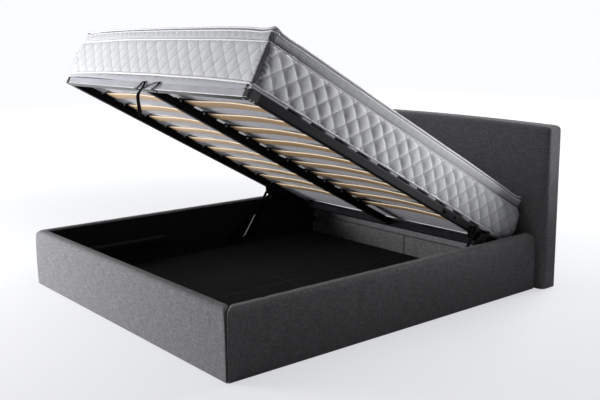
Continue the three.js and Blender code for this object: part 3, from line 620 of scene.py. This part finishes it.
def heap(name, parts, paint):
    """Several small closed shapes as one piece on the platform."""
    points, faces, offset = [], [], 0
    for p, f in parts:
        points.append(p)
        faces += [[k + offset for k in face] for face in f]
        offset += len(p)
    piece(name, np.concatenate(points), faces, [paint], "platform")


# Upholstered rails

def rail_outline():
    """Closed section of a rail as (depth from the outer face, height), with outward normals.

    It starts at the inner face's foot and runs up, over the top, down outside and back.
    """
    def arc(cu, cv, r, start, end, count):
        t = np.linspace(start, end, count)
        return np.stack([cu - r * np.cos(t), cv + r * np.sin(t)], 1)

    top, inner, low = 0.026, 0.012, 0.006
    parts = [np.stack([np.full(24, RAIL), np.linspace(0.004, RAIL_HIGH - inner, 24)], 1),
             arc(RAIL - inner, RAIL_HIGH - inner, inner, math.pi, math.pi / 2, 7)[1:],
             arc(top, RAIL_HIGH - top, top, math.pi / 2, 0, 10),
             np.stack([np.zeros(26), np.linspace(RAIL_HIGH - top, low, 26)], 1)[1:],
             arc(low, low, low, 0, -math.pi / 2, 5)[1:],
             np.array([[RAIL - 0.004, 0.0]])]
    outline = np.concatenate(parts)
    ahead = unit(np.roll(outline, -1, 0) - np.roll(outline, 1, 0))
    return outline, np.stack([ahead[:, 1], -ahead[:, 0]], 1)


def round_off(distance, r):
    """Depth of a quarter round at distance d from its edge: r - sqrt(r^2 - (r - d)^2)."""
    d = np.clip(distance, 0, r)
    return r - np.sqrt(np.maximum(r ** 2 - (r - d) ** 2, 0))


def rail_rings(length, seed, mitres, ends):
    """Rings (along, depth, height) of a padded rail, with rounded ends.

    Skin = outline - normal (e(d) - crown - folds), where e is round_off inside r of an end, r
    grows from the first to the second of ends, and crown = 2 mm sin(pi v). Each end then moves
    in by its mitre times the depth, less and less towards the middle.
    """
    outline, normal = rail_outline()
    along = steps(0.0, length, 0.011, (0.0, 0.02, 0.06, 0.13, 0.22, 0.34, 0.5, 0.7, 0.85), 0.04)
    depth, height = outline.T[:, None] + 0 * along[None, :, None]
    lead = along[:, None] + 0 * depth
    tail = length - lead
    r = ends[0] + (ends[1] - ends[0]) * np.clip(height / RAIL_HIGH, 0, 1) ** 6
    outer = np.clip((RAIL - depth) / RAIL, 0, 1)
    inset = (round_off(lead, r) + round_off(tail, r)) * (0.35 + 0.65 * outer)
    face = np.clip(1 - depth / 0.02, 0, 1)
    crown = 0.002 * np.sin(np.pi * np.clip(height / RAIL_HIGH, 0, 1)) * face
    folds = creases(lead, height, seed, int(length * 14), (0, length), (0.05, 0.3), 0.0011)
    pulled = creases(lead, height, seed + 5, int(length * 22), (0, length), (0.3, 0.33), 0.0009)
    move = inset - crown - (folds + pulled) * np.maximum(face, (height > RAIL_HIGH - 0.03) * 0.8)
    depth = depth - normal[None, :, 0] * move
    height = height - normal[None, :, 1] * move * (height > 0.02)
    lead_share, tail_share = (np.clip(1 - way / (length / 2), 0, 1) for way in (lead, tail))
    shift = lead + mitres[0] * depth * lead_share - mitres[1] * depth * tail_share
    uv = np.stack([lead, way_along(outline)[None] + 0 * lead], 2)
    return np.stack([shift, depth, height], 2), uv, outline


def rail(name, length, place_of, seed, mitres, ends, head_round=0.0):
    """A rail's cover, cloth outside and over the top, lining on its inner face.

    head_round is the radius of the top at its head end, 22 mm from which a seam stands out.
    """
    rings, uv, outline = rail_rings(length, seed, mitres, ends)
    if head_round:
        to_end = length - rings[:, :, 0]
        upper = np.clip(rings[:, :, 2] / RAIL_HIGH * 2 - 1, 0, 1)
        rings[:, :, 2] -= round_off(to_end, head_round) * upper
        seam = np.exp(-((to_end - 0.022) / 0.003) ** 2)
        rings[:, :, 1] += 0.0022 * seam * (outline[None, :, 0] < 0.03)
    points, faces = capped(place_of(rings))
    flat = np.concatenate([uv.reshape(-1, 2), uv[0].mean(0)[None], uv[-1].mean(0)[None]])
    ring, fans = len(outline), len(points) - 2
    lined = outline[:, 0] > RAIL - 0.001
    made = piece(name + "_cover", points, faces, [heather, lining], "base", uv=flat,
                 index=[max(f) < fans and all(lined[k % ring] for k in f) for f in faces])
    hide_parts(name)


def foot_place(rings):
    """(along, depth, height) to x = along - half, y = front + depth."""
    along, depth, height = np.moveaxis(rings, -1, 0)
    return np.stack([along - HALF_BED + MITRE_GAP, FOOT_Y + depth, height], -1)


def side_place(sign):
    """(along, depth, height) to x = sign (half - depth), y = front + along."""
    def place(rings):
        along, depth, height = np.moveaxis(rings, -1, 0)
        return np.stack([sign * (HALF_BED - depth), FOOT_Y + MITRE_GAP + along, height], -1)

    return place


rail("foot_rail", 2 * (HALF_BED - MITRE_GAP), foot_place, 3, (1.0, 1.0), (0.010, 0.024))
SIDE_LONG = HEADBOARD_Y - FOOT_Y - MITRE_GAP - 0.006
rail("side_rail_right", SIDE_LONG, side_place(1), 11, (1.0, 0.0), (0.005, 0.020), 0.035)
rail("side_rail_left", SIDE_LONG, side_place(-1), 17, (1.0, 0.0), (0.005, 0.020), 0.035)


# Headboard and head panels

def headboard():
    """Padded slab: a block of 2.10 by 0.128 m, top raised by 19 mm (1 - (x / w)^2).

    Its front puckers along the top edge and carries faint folds, in metres along the normal y.
    """
    half, side_high, deep, crown = 1.05, 0.928, 0.128, 0.019
    xs = steps(-half, half, 0.014, FINE, 0.042)
    ys = steps(HEADBOARD_Y, HEADBOARD_Y + deep, 0.02, FINE, 0.036)
    zs = steps(0.0, side_high, 0.014, FINE, 0.026)
    points, quads, uvs = rounded_block((xs, ys, zs),
                                       ((0.040, 0.040), (0.034, 0.014), (0.004, 0.024)))
    x, y, z = points.T
    share = z / side_high
    front = np.clip((HEADBOARD_Y + 0.05 - y) / 0.05, 0, 1)
    belly = 0.004 * np.sin(np.pi * share) * np.cos(np.pi * x / 2 / half) * front
    puckers = creases(x, z, 23, 80, (-half, half), (side_high - 0.06, side_high), 0.0026)
    folds = creases(x, z, 29, 46, (-half, half), (0.35, 0.9), 0.0014)
    y = y + (0.003 - belly) * front - (puckers + folds) * front
    z = z + crown * share * (1 - (x / half) ** 2)
    top_folds = creases(x, y, 31, 60, (-half, half), (HEADBOARD_Y, HEADBOARD_Y + 0.1), 0.001)
    z = z + top_folds * (share > 0.97)
    made = piece("headboard_cover", np.stack([x, y, z], 1), quads, [heather], "base",
                 corner_uv=uvs)
    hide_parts("headboard")


def head_panel(side, sign):
    """A low cloth-covered panel in front of the headboard, with faint folds on its front."""
    low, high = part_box("head_inner_panel_" + side)
    xs = steps(low[0] + 0.001, high[0] - 0.001, 0.02, FINE, 0.008)
    ys = steps(low[1], high[1], 0.01, FINE, 0.008)
    zs = steps(low[2], high[2], 0.014, FINE, 0.01)
    points, quads, uvs = rounded_block((xs, ys, zs),
                                       ((0.006, 0.006), (0.008, 0.004), (0.002, 0.01)))
    folds = creases(points[:, 0], points[:, 2], 37 + sign, 22, (low[0], high[0]), (0.02, 0.13),
                    0.0009)
    points[:, 1] += folds * (points[:, 1] < low[1] + 0.01)
    made = piece("head_panel_cover_" + side, points, quads, [panel_weave], "base",
                 corner_uv=uvs)
    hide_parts("head_inner_panel_" + side)


headboard()
head_panel("right", 1)
head_panel("left", -1)


# Mattress border, underside and hem

def outline_path(half_x, low_s, high_s, radius, step, fine):
    """Points (x, s) round a rectangle with round corners, with outward normals.

    It starts at the middle of the head side. They are step apart, or fine apart within 30 mm of
    a corner. Also returned: the way along, the whole way round, and each point's way to the
    nearest corner.
    """
    corners = [(half_x - radius, high_s - radius, math.pi / 2, 0.0),
               (half_x - radius, low_s + radius, 0.0, -math.pi / 2),
               (-half_x + radius, low_s + radius, -math.pi / 2, -math.pi),
               (-half_x + radius, high_s - radius, -math.pi, -1.5 * math.pi)]
    middle, arc, near = np.array([[0.0, high_s]]), 61, 0.03
    dense = [middle]
    for cx, cs, start, end in corners:
        t = np.linspace(start, end, arc)
        dense.append(np.stack([cx + radius * np.cos(t), cs + radius * np.sin(t)], 1))
    dense = np.concatenate(dense + [middle])
    length = way_along(dense)
    around = length[-1]
    turns = length[[31 + arc * k for k in range(4)]]
    count = int(round(around / step))
    at = np.arange(count) * around / count
    extra = (turns[:, None] + np.arange(-near, near + 0.0001, fine)).ravel()
    away = np.abs(at[:, None] - turns[None, :]).min(1)
    at = np.sort(np.concatenate([at[away > near + fine / 2], extra]))
    x, s = np.interp(at, length, dense[:, 0]), np.interp(at, length, dense[:, 1])
    ahead = unit(np.stack([np.roll(x, -1) - np.roll(x, 1), np.roll(s, -1) - np.roll(s, 1)], 1))
    away = np.abs(at[:, None] - turns[None, :]).min(1)
    return np.stack([x, s], 1), np.stack([-ahead[:, 1], ahead[:, 0]], 1), at, around, away


def stood_out(path, out, stand, level):
    """Grid (rows, way along, 3) of path + out stand, at n = level + arch."""
    x, s = (path[None, :, k] + out[None, :, k] * stand for k in (0, 1))
    return np.stack([x, s, level + 0 * stand + arch(x, s)], 2)


def arch(x, s):
    """Lift of the foot end between its corners: 16 mm (1 - |x / w|^3) e^(-(s - s0) / 0.25)."""
    share = np.clip(np.abs(x) / HALF_WIDE, 0, 1)
    return 0.016 * (1 - share ** 3) * np.exp(-np.maximum(s - MATTRESS_S[0], 0) / 0.25)


CLOTH = {
    "quality": 4, "mass": 0.3, "tension_stiffness": 12, "compression_stiffness": 12,
    "shear_stiffness": 6, "bending_stiffness": 0.4, "use_pressure": True,
    "vertex_group_mass": "sewn", "pin_stiffness": 2,
}
CLOTH_FRAMES = 20


def swollen(name, points, faces, held, pressure, most):
    """Cloth simulation: a closed skin under pressure, held at its sewn lines.

    It runs 20 frames without gravity, and no point moves further than most, which is one value
    or one for each point.
    """
    data = bpy.data.meshes.new(name)
    way = -1 if volume(points - points.mean(0), faces) < 0 else 1
    data.from_pydata(points.tolist(), [], [list(map(int, f))[::way] for f in faces])
    skin = bpy.data.objects.new(name, data)
    bpy.context.scene.collection.objects.link(skin)
    group = skin.vertex_groups.new(name="sewn")
    held = np.round(held, 1)
    for share in np.unique(held[held > 0]):
        group.add(np.flatnonzero(held == share).tolist(), float(share), "REPLACE")
    cloth = skin.modifiers.new("cloth", "CLOTH")
    for key, value in CLOTH.items():
        setattr(cloth.settings, key, value)
    cloth.settings.uniform_pressure_force = pressure
    cloth.settings.effector_weights.gravity = 0
    cloth.collision_settings.use_collision = False
    for number in range(1, CLOTH_FRAMES + 1):
        bpy.context.scene.frame_set(number)
    settled = skin.evaluated_get(bpy.context.evaluated_depsgraph_get()).to_mesh()
    found = np.empty(len(points) * 3, np.float32)
    settled.vertices.foreach_get("co", found)
    bpy.data.objects.remove(skin)
    bpy.context.scene.frame_set(1)
    move = found.reshape(-1, 3) - points
    size = np.linalg.norm(move, axis=1, keepdims=True)
    most = np.broadcast_to(most, len(points))[:, None]
    return points + move * np.minimum(1, most / np.maximum(size, 1e-9))


def mattress_core():
    """The quilted border: puffed diamonds between sewn lines.

    With a along the border, h up it, u = (a - 0.042) / w and v = 2 (h + 0.0265) / H, which put
    the diamonds where they are photographed, f = |sin(pi (u + v)) sin(pi (u - v))|, and the
    cloth stands 3 mm (foot) or 10.5 mm (sides) f^0.45 out of its seams. It bulges by
    (6 + 13 e^-(c / 0.11)^2) mm (1 - |2 h / H - 1|^2.6), 0.45 of that at the foot, c away from a
    corner, and gathers at the corner seams.
    """
    path, out, at, around, away = outline_path(HALF_WIDE - 0.002, MATTRESS_S[0] + 0.002,
                                               MATTRESS_S[1] - 0.002, 0.009, 0.0052, 0.0018)
    tall = CORE_N[1] - CORE_N[0]
    rows = steps(0.0, tall, 0.0054, (0.0, 0.3, 0.6), 0.008)
    wide = around / round(around / QUILT)
    a, h = np.meshgrid(at, rows)
    c = np.broadcast_to(away[None], h.shape)
    u, v = (a - 0.042) / wide, (h + 0.0265) / (tall / 2)
    one = np.abs(np.sin(np.pi * (u + v)))
    two = np.abs(np.sin(np.pi * (u - v)))
    edge = np.abs(2 * h / tall - 1)
    cell = 1 + 0.15 * np.sin(a * 31.0 + 5.0 * np.floor(h / (tall / 2)))
    free = smooth(0.0, 0.03, c)
    foot = np.clip(-out[:, 1], 0, 1)[None] ** 2
    puff = (0.0105 - 0.0075 * foot) * (one * two) ** 0.45 * cell * (0.35 + 0.65 * free)
    puff = puff * smooth(0.0, 0.012, tall - h)
    bulge = (0.006 + 0.013 * np.exp(-(c / 0.11) ** 2)) * (1 - edge ** 2.6) * (1 - 0.55 * foot)
    pinch = 0.0035 * np.exp(-(c / 0.0035) ** 2)
    pleat = np.sin(2 * np.pi * (h + 0.35 * c) / 0.019 + 2 * np.sin(h * 33))
    gather = 0.0017 * pleat * np.exp(-((c - 0.012) / 0.018) ** 2)
    tuck = 0.0012 * np.sin(a * 2 * np.pi / 0.021 + 2 * np.sin(a * 9)) * edge ** 10
    sway = 0.003 * np.sin(a * 2.1) * (1 - edge ** 2) * (1 - 0.6 * foot)
    stand = puff + bulge - pinch + gather + tuck + sway - 0.004 * edge ** 12
    shape, faces = capped(stood_out(path, out, stand, CORE_N[0] - 0.001 + h))
    held = np.maximum(np.clip(1 - np.minimum(one, two) / 0.16, 0, 1), edge > 0.97)
    held = np.append(np.maximum(held, np.exp(-(c / 0.006) ** 2)), [1, 1])
    most = np.append(np.broadcast_to(0.007 - 0.005 * foot, c.shape), [0, 0])
    shape = swollen("border_skin", raised(shape), faces, held, 5.0, most)
    # Dark corner seams: a seam line deepened with painted shade, and painted shade 35 mm wide
    # beside them on the sides
    sewn = 0.95 * np.exp(-(c / 0.0024) ** 2) + 0.5 * (1 - foot) * np.exp(-(c / 0.035) ** 2)
    uv = np.stack([u * QUILT, v * tall / 2], 2).reshape(-1, 2)
    made = piece("mattress_core", shape, faces, [knit], "platform",
                 uv=np.concatenate([uv, [[0, 0], [0, tall]]]),
                 values={"sewn": np.append(sewn, [0, 0])})
    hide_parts("mattress")


def mattress_underside():
    """The bottom cloth: it sags 3 mm between slats, and 20 mm past their ends between holders."""
    half, thick = 0.873, 0.012
    outer = np.linspace(0.80, half, 14)
    xs = np.unique(np.concatenate([steps(-half, half, 0.03, FINE, 0.012), outer, -outer]))
    ss = steps(MATTRESS_S[0] + 0.006, MATTRESS_S[1] - 0.014, 0.0072, FINE, 0.012)
    ns = steps(CORE_N[0], CORE_N[0] + thick, 0.004)
    points, quads, uvs = rounded_block((xs, ss, ns),
                                       ((0.006, 0.006), (0.006, 0.006), (0.003, 0.003)))
    x, s, n = points.T
    phase = np.mod(s - SLAT_START, SLAT_PITCH)
    between = smooth(0.066, 0.078, phase) * (1 - smooth(0.139, 0.151, phase))
    between = np.where((s < 0.160) | (s > 1.66), 1.0, between)
    ends = smooth(0.79, 0.84, np.abs(x))
    sag = between * (0.003 + 0.0135 * ends)
    sag = np.maximum(sag, 0.0165 * (1 - smooth(0.02, 0.15, s)))
    low = 1 - (n - CORE_N[0]) / thick
    n = n - (sag + 0.004 * ends * between) * low + arch(x, s) * (0.25 + 0.75 * (1 - low))
    rim = smooth(half - 0.006, half, np.abs(x))
    x = x + np.sign(x) * 0.0275 * rim * between * np.clip(low * 3 - 0.7, 0, 1)
    made = piece("mattress_underside", raised(np.stack([x, s, n], 1)), quads, [ribbed],
                 "platform", corner_uv=uvs[:, :, ::-1])


def foot_hem():
    """The ticking's turned edge in front of the foot tube, a swept section that waves by 2 mm."""
    section = np.array([(-0.050, 0.061), (-0.0600, 0.060), (-0.0622, 0.053), (-0.0615, 0.0475),
                        (-0.0603, 0.041), (-0.0602, 0.034), (-0.0598, 0.0325), (-0.0592, 0.034),
                        (-0.0590, 0.0415), (-0.0560, 0.0435), (-0.050, 0.0445)])
    x = np.linspace(-0.868, 0.868, 240)[:, None] + 0 * section[None, :, 0]
    s, n = section.T[:, None] + 0 * x[None]
    hang = 0.0085 * smooth(-0.62, -0.1, x) * (1 - smooth(0.84, 0.87, x))
    wave = 0.0012 * np.sin(x * 13) + 0.0008 * np.sin(x * 29 + 1)
    upper = smooth(0.046, 0.056, n)
    # Painted shade along the hem's top, under the bottom piping
    sewn = 0.75 * smooth(0.050, 0.0585, n)
    below = np.clip((0.0435 - n) / 0.011, 0, 1)
    n = n + below * (0.0105 - hang) + arch(x, MATTRESS_S[0]) * upper + wave * 0.5 * upper
    folds = creases(x, s, 43, 60, (-0.9, 0.9), (-0.06, -0.055), 0.0022)
    s = s - (np.abs(wave) + folds) * upper * (s < -0.058)
    points, faces = capped(np.stack([x, s, n], 2))
    made = piece("mattress_foot_hem", raised(points), faces, [ticking], "platform",
                 uv=with_fans(x, way_along(section) + 0 * x),
                 values={"sewn": np.append(sewn, [0, 0])})


mattress_core()
mattress_underside()
foot_hem()


# Pillow top and pipings

def ear(away):
    """The pillow top's corners flick up: 7 mm e^-(c / 0.025)^2 - 4 mm e^-((c - 0.09) / 0.05)^2."""
    return 0.007 * np.exp(-(away / 0.025) ** 2) - 0.004 * np.exp(-((away - 0.09) / 0.05) ** 2)


def pillow_top():
    """The soft top: a pleated border that swells, and a crowned top quilted in 0.16 m diamonds.

    Border rings run up from the core's piping, n = share of the height, standing out by
    7 mm sin(pi share)^0.7; top rings shrink towards the middle line, n = crown + quilting. The
    pleats carry painted shade under the upper piping, at the foot of the border, in the corner
    folds and along the sides near the corners.
    """
    path, out, at, _, away = outline_path(HALF_WIDE - 0.006, MATTRESS_S[0] + 0.006,
                                          MATTRESS_S[1] - 0.009, 0.016, 0.0105, 0.004)
    edge_n = TOP_N[1] - 0.004
    share = np.array([0.0, 0.0, 0.04, 0.1, 0.19, 0.3, 0.42, 0.55, 0.67, 0.78, 0.88, 0.95, 1.0])
    inset = np.array([0.02, 0.006, 0.003] + [0.0] * 10)
    rows, share = len(share), share[:, None]
    corner = np.exp(-(away / 0.005) ** 2)[None]
    swell = np.sin(np.pi * share)
    fold = 0.0012 * np.sin(at * 2 * np.pi / 0.052 + 3 * np.sin(at * 3.1))[None]
    stand = (0.007 * swell ** 0.7 * (1 - 0.9 * corner) - inset[:, None] + fold * swell
             - 0.004 * corner + 0.002 * np.sin(at * 1.7)[None] * swell)
    level = TOP_N[0] + (edge_n - TOP_N[0]) * share + ear(away)[None] * share ** 2
    border = stood_out(path, out, stand, level)

    shrink = np.concatenate([[0.004, 0.009, 0.017, 0.028, 0.042, 0.058],
                             np.arange(0.072, 0.885, 0.0135)])[:, None]
    middle = 0.5 * (MATTRESS_S[0] + MATTRESS_S[1])
    half = np.array([HALF_WIDE - 0.006, (MATTRESS_S[1] - MATTRESS_S[0]) / 2 - 0.0075])
    x, s = np.moveaxis((path - [0, middle]) * ((half - shrink) / half)[:, None], 2, 0)
    s = s + middle
    deep = shrink + 0 * x
    one = np.abs(np.sin(np.pi * (x + s) / TOP_QUILT))
    two = np.abs(np.sin(np.pi * (x - s) / TOP_QUILT))
    crown = 0.006 * np.sqrt(np.clip(deep / 0.03, 0, 1)) + 0.006 * smooth(0.02, 0.25, deep)
    quilt = 0.006 * ((one * two) ** 0.4 - 0.6) * smooth(0.01, 0.05, deep)
    n = edge_n + crown + quilt + ear(away)[None] * np.exp(-deep / 0.02)
    rings = np.concatenate([border, np.stack([x, s, n + arch(x, s)], 2)])
    shape, faces = capped(rings)

    held = np.zeros(rings.shape[:2])
    held[[0, 1, rows - 1]] = 1
    held[rows:] = np.maximum(np.clip(1 - np.minimum(one, two) / 0.14, 0, 1), deep > 0.86)
    shape = swollen("top_skin", raised(shape), faces, np.append(held, [1, 1]), 3.0, 0.006)
    uv_border = np.stack([at[None] + 0 * stand, share * 0.06 + 0 * stand], 2)
    uv = np.concatenate([uv_border, np.stack([x, s], 2)]).reshape(-1, 2)
    uv = np.concatenate([uv, [[0, 0], [0, middle]]])
    first_top, foot_fan = (rows - 1) * len(path), len(uv) - 2
    index = [0 if min(f) >= first_top and max(f) != foot_fan else 1 for f in faces]

    # Painted shade: bands under the upper piping and at the border's foot, the corner folds, and
    # the sides near the corners, darkest low down
    dark = 0.97 * np.exp(-((share - 0.87) / 0.06) ** 2) + 0.8 * np.exp(-(share / 0.05) ** 2)
    beside = np.clip(np.abs(out[:, 0]), 0, 1)[None] ** 2
    low = 0.25 + 0.7 * np.exp(-(share / 0.3) ** 2)
    corner_side_shade = low * beside * np.exp(-(away / 0.3) ** 2)[None]
    fold_shade = 0.8 * corner * beside * (share < 0.8)
    clear = 1 - np.exp(-(away / 0.012) ** 2)[None]
    sewn = np.zeros(rings.shape[:2])
    sewn[:rows] = np.maximum(np.maximum(dark * clear, fold_shade), corner_side_shade)
    made = piece("mattress_pillow_top", shape, faces, [top_knit, pleated], "platform",
                 uv=uv, index=index, values={"sewn": np.append(sewn, [0, 0])})
    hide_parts("mattress_top")


def perimeter_cord(name, half, low, high, level, size, ear_share=0.0):
    """Piping round the mattress: n = level + arch + wave + ear_share times the corners' ear.

    The wave is 0.8 mm sin(5.1 a) + 0.48 mm sin(13.7 a + 1), a metres along.
    """
    path, _, at, _, away = outline_path(half, low, high, 0.016, 0.012, 0.004)
    n = level + 0.0008 * np.sin(at * 5.1) + 0.00048 * np.sin(at * 13.7 + 1)
    n = n + arch(path[:, 0], path[:, 1]) + ear_share * ear(away)
    line = raised(np.column_stack([path, n]))
    t = np.arange(8) * 2 * np.pi / 8
    rings = around_path(line, *square_to(line, (0.0, 0.0, 1.0), True), size * np.cos(t),
                        size * np.sin(t))
    step = np.linalg.norm(np.roll(line, -1, 0) - line, axis=1).mean()
    u, v = np.meshgrid(np.arange(len(line)) * step, t * size, indexing="ij")
    piece(name, rings.reshape(-1, 3), grid_faces(*u.shape, True, True), [piping], "platform",
          uv=np.stack([u.ravel(), v.ravel()], 1))


perimeter_cord("piping_bottom", 0.8985, MATTRESS_S[0] - 0.002, 1.935, 0.0605, 0.0055)
perimeter_cord("piping_core_top", 0.8965, MATTRESS_S[0] + 0.0015, 1.9345, CORE_N[1] - 0.001,
               0.0038)
pillow_top()
perimeter_cord("piping_top_lower", HALF_WIDE + 0.0005, MATTRESS_S[0] - 0.0005,
               MATTRESS_S[1] - 0.0035, TOP_N[1] - 0.0205, 0.0036, 0.8)
perimeter_cord("piping_top_upper", HALF_WIDE - 0.006, MATTRESS_S[0] + 0.006,
               MATTRESS_S[1] - 0.009, TOP_N[1] - 0.0035, 0.0048, 1.0)


# Slats

def slat(row, side, sign):
    """A bent strip with round edges: n = 43 + 9.7 (1 - cos(2 pi t)) / 2 mm between its holders."""
    first, mouth, far_mouth, last = 0.008, 0.040, 0.836, 0.868
    x = np.unique(np.concatenate([np.linspace(*part) for part in (
        (first, mouth, 4), (mouth, far_mouth, 44), (far_mouth, last, 4))]))
    t = np.clip((x - mouth) / (far_mouth - mouth), 0, 1)
    bow = 0.043 + 0.0097 * (1 - np.cos(2 * np.pi * t)) / 2
    r, w, h = 0.0032, SLAT_WIDE, SLAT_THICK
    corners = ((w - r, r, -90), (w - r, h - r, 0), (r, h - r, 90), (r, r, 180))
    section = np.array([(cs + r * math.cos(a), cn + r * math.sin(a)) for cs, cn, start in corners
                        for a in np.radians(start + np.linspace(0, 90, 5))])
    across = x[:, None] + 0 * section[None, :, 0]
    s = SLAT_START + SLAT_PITCH * row + section[None, :, 0] + 0 * across
    points, faces = capped(np.stack([sign * across, s, bow[:, None] + section[None, :, 1]], 2))
    # Upright sides and end caps take the pale edge paint, a painted highlight
    upright = (section[:, 1] > 0.0018) & (section[:, 1] < h - 0.0018)
    edge = [len(f) == 3 or all(upright[k % len(section)] for k in f) for f in faces]
    name = f"slat_{row + 1:02d}_{side}"
    made = piece("bowed_" + name, raised(points), faces, [beech, beech_highlight_edge], "platform",
                 uv=with_fans(across + row * 0.37, way_along(section) + sign * 0.21 + 0 * across),
                 index=edge)
    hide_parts(name)


for number in range(SLAT_ROWS):
    slat(number, "right", 1)
    slat(number, "left", -1)


# Rivets, bolts and screws

def holder_rivets():
    """Four rivets a row, on the inner faces of the holders, 12.3 mm to the foot of a slat."""
    side_x, centre_x = 0.860 - 0.0033, 0.0233
    rivets = []
    for number in range(SLAT_ROWS):
        s = SLAT_START + SLAT_PITCH * number - 0.0123
        for x, way in ((side_x, -1), (-side_x, 1), (centre_x, 1), (-centre_x, -1)):
            rivets.append(dome((x, s, 0.040), (way, 0, 0), 0.0062, 0.0042))
    return rivets


heap("holder_rivets", holder_rivets(), painted_glint_zinc)
heap("plate_bolts",
     [dome((sign * 0.9062, PLATE_S[0] + share * (PLATE_S[1] - PLATE_S[0]), 0.020), (sign, 0, 0),
           0.0072, 0.0035)
      for share in (0.028, 0.184, 0.786, 0.908) for sign in (1, -1)], matt_black)
DOWN = -np.subtract(*raised([(0, 0, 1), (0, 0, 0)]))
heap("corner_block_screws",
     [dome((sign * x, s, 0.0002), DOWN, 0.0052, 0.003)
      for x, s in ((0.888, -0.030), (0.888, -0.008), (0.851, -0.038)) for sign in (1, -1)],
     painted_glint_zinc)


# Pull strap

# (x, height over the foot tube's lower edge) along the webbing, in millimetres
STRAP_ROUTE = [
    (-54, 4), (-37, 5), (-20, 14), (-6, 28), (9, 37), (22, 30), (22, 14), (6, -5), (-10, -21),
    (-18, -38), (-18, -64), (-11, -86), (-5, -108), (-6, -126), (-14, -134), (-21, -122),
    (-24, -104), (-28, -80), (-33, -46), (-27, -26), (-3, -10), (34, 8), (85, 25), (135, 37),
    (157, 36), (153, 24), (132, 12), (113, 4),
]
STRAP_ENDS = (-0.054, 0.113)


def smooth_path(knots, each):
    """Catmull-Rom curve through the knots, each segment in that many steps."""
    p = np.asarray(knots, float)
    p = np.concatenate([2 * p[:1] - p[1:2], p, 2 * p[-1:] - p[-2:-1]])
    out = []
    for k in range(1, len(p) - 2):
        t = np.linspace(0, 1, each, endpoint=False)[:, None]
        out.append(0.5 * (2 * p[k] + (p[k + 1] - p[k - 1]) * t
                          + (2 * p[k - 1] - 5 * p[k] + 4 * p[k + 1] - p[k + 2]) * t ** 2
                          + (3 * p[k] - p[k - 1] - 3 * p[k + 1] + p[k + 2]) * t ** 3))
    return np.concatenate(out + [p[-2:-1]])


def pull_strap():
    """Flat webbing that hangs in its photographed loops in front of the foot tube.

    Its section is 12 mm / 2 |cos t|^0.35 sign(cos t) along Y by 2.4 mm / 2 sin t.
    """
    width, thick, around, before = 0.012, 0.0024, 12, 0.009
    edge_y, edge_z = raised((0, -FOOT_LEAD, 0))[0, 1:]
    x, z = smooth_path(np.array(STRAP_ROUTE) / 1000, 6).T
    line = np.column_stack([x, edge_y - before + np.maximum(0, z) * math.tan(LIFT), edge_z + z])
    side, up = square_to(line, (0.0, 1.0, 0.0), False)
    t = np.arange(around) * 2 * np.pi / around
    across = width / 2 * np.abs(np.cos(t)) ** 0.35 * np.sign(np.cos(t))
    points, faces = capped(around_path(line, side, up, thick / 2 * np.sin(t), across))
    u, v = np.meshgrid(way_along(line), np.arange(around) * 0.0022, indexing="ij")
    made = piece("pull_strap_webbing", points, faces, [webbing], "platform",
                 uv=with_fans(u, v))
    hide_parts("pull_strap")


def strap_tab(x):
    """The strap's sewn end: a folded pad that lies under the foot tube."""
    xs = steps(x - 0.007, x + 0.007, 0.004)
    ss = steps(-FOOT_LEAD - 0.009, -FOOT_LEAD + 0.025, 0.006)
    ns = steps(-0.0033, -0.0004, 0.0015)
    points, quads, _ = rounded_block((xs, ss, ns), ((0.002, 0.002),) * 2 + ((0.0012, 0.0012),))
    return raised(points), quads


pull_strap()
heap("pull_strap_ends", [strap_tab(x) for x in STRAP_ENDS], webbing)
heap("strap_screws", [dome((x, -0.040, -0.0032), DOWN, 0.005, 0.0028) for x in STRAP_ENDS],
     painted_glint_zinc)


# CAD nodes that stay

STAYING = {
    "black_steel": black_steel, "grey_steel": grey_steel, "black_plastic": black_plastic,
    "bright_steel": bright_steel, "black_board": board,
}
MECHANISM = ("front_link", "rear_link", "lift_bracket", "side_plate", "strut_cylinder")
SLOT_OF = {part["node"]: part["material_slot"] for part in frame["record"]["subparts"]}


def dress(node, paint):
    """Gives a CAD node its paint, and 0.6 mm bevels for its sharp edges."""
    node.data.materials.clear()
    node.data.materials.append(paint)
    weld = node.modifiers.new("weld", "WELD")
    weld.merge_threshold = 0.00002
    bevel = node.modifiers.new("edge", "BEVEL")
    bevel.width = 0.0006
    bevel.segments = 2
    bevel.limit_method = "ANGLE"
    bevel.angle_limit = math.radians(40)
    bevel.harden_normals = True


for name, node in nodes.items():
    paint = STAYING.get(SLOT_OF.get(name))
    if paint and not node.hide_render:
        dress(node, matt_black if name.startswith(MECHANISM) else paint)


# Floor

def studio_floor():
    """A square of 28 m, half a millimetre under the bed."""
    ground = steps(-14.0, 14.0, 7.0)
    x, y = np.meshgrid(ground, ground, indexing="ij")
    points = np.stack([x.ravel(), y.ravel(), np.full(x.size, -0.0005)], 1)
    mesh = bpy.data.meshes.new("studio_floor")
    mesh.from_pydata(points.tolist(), [], grid_faces(*x.shape)[:, ::-1].tolist())
    mesh.materials.append(pale_floor())
    floor = bpy.data.objects.new("studio_floor", mesh)
    bpy.context.scene.collection.objects.link(floor)


studio_floor()
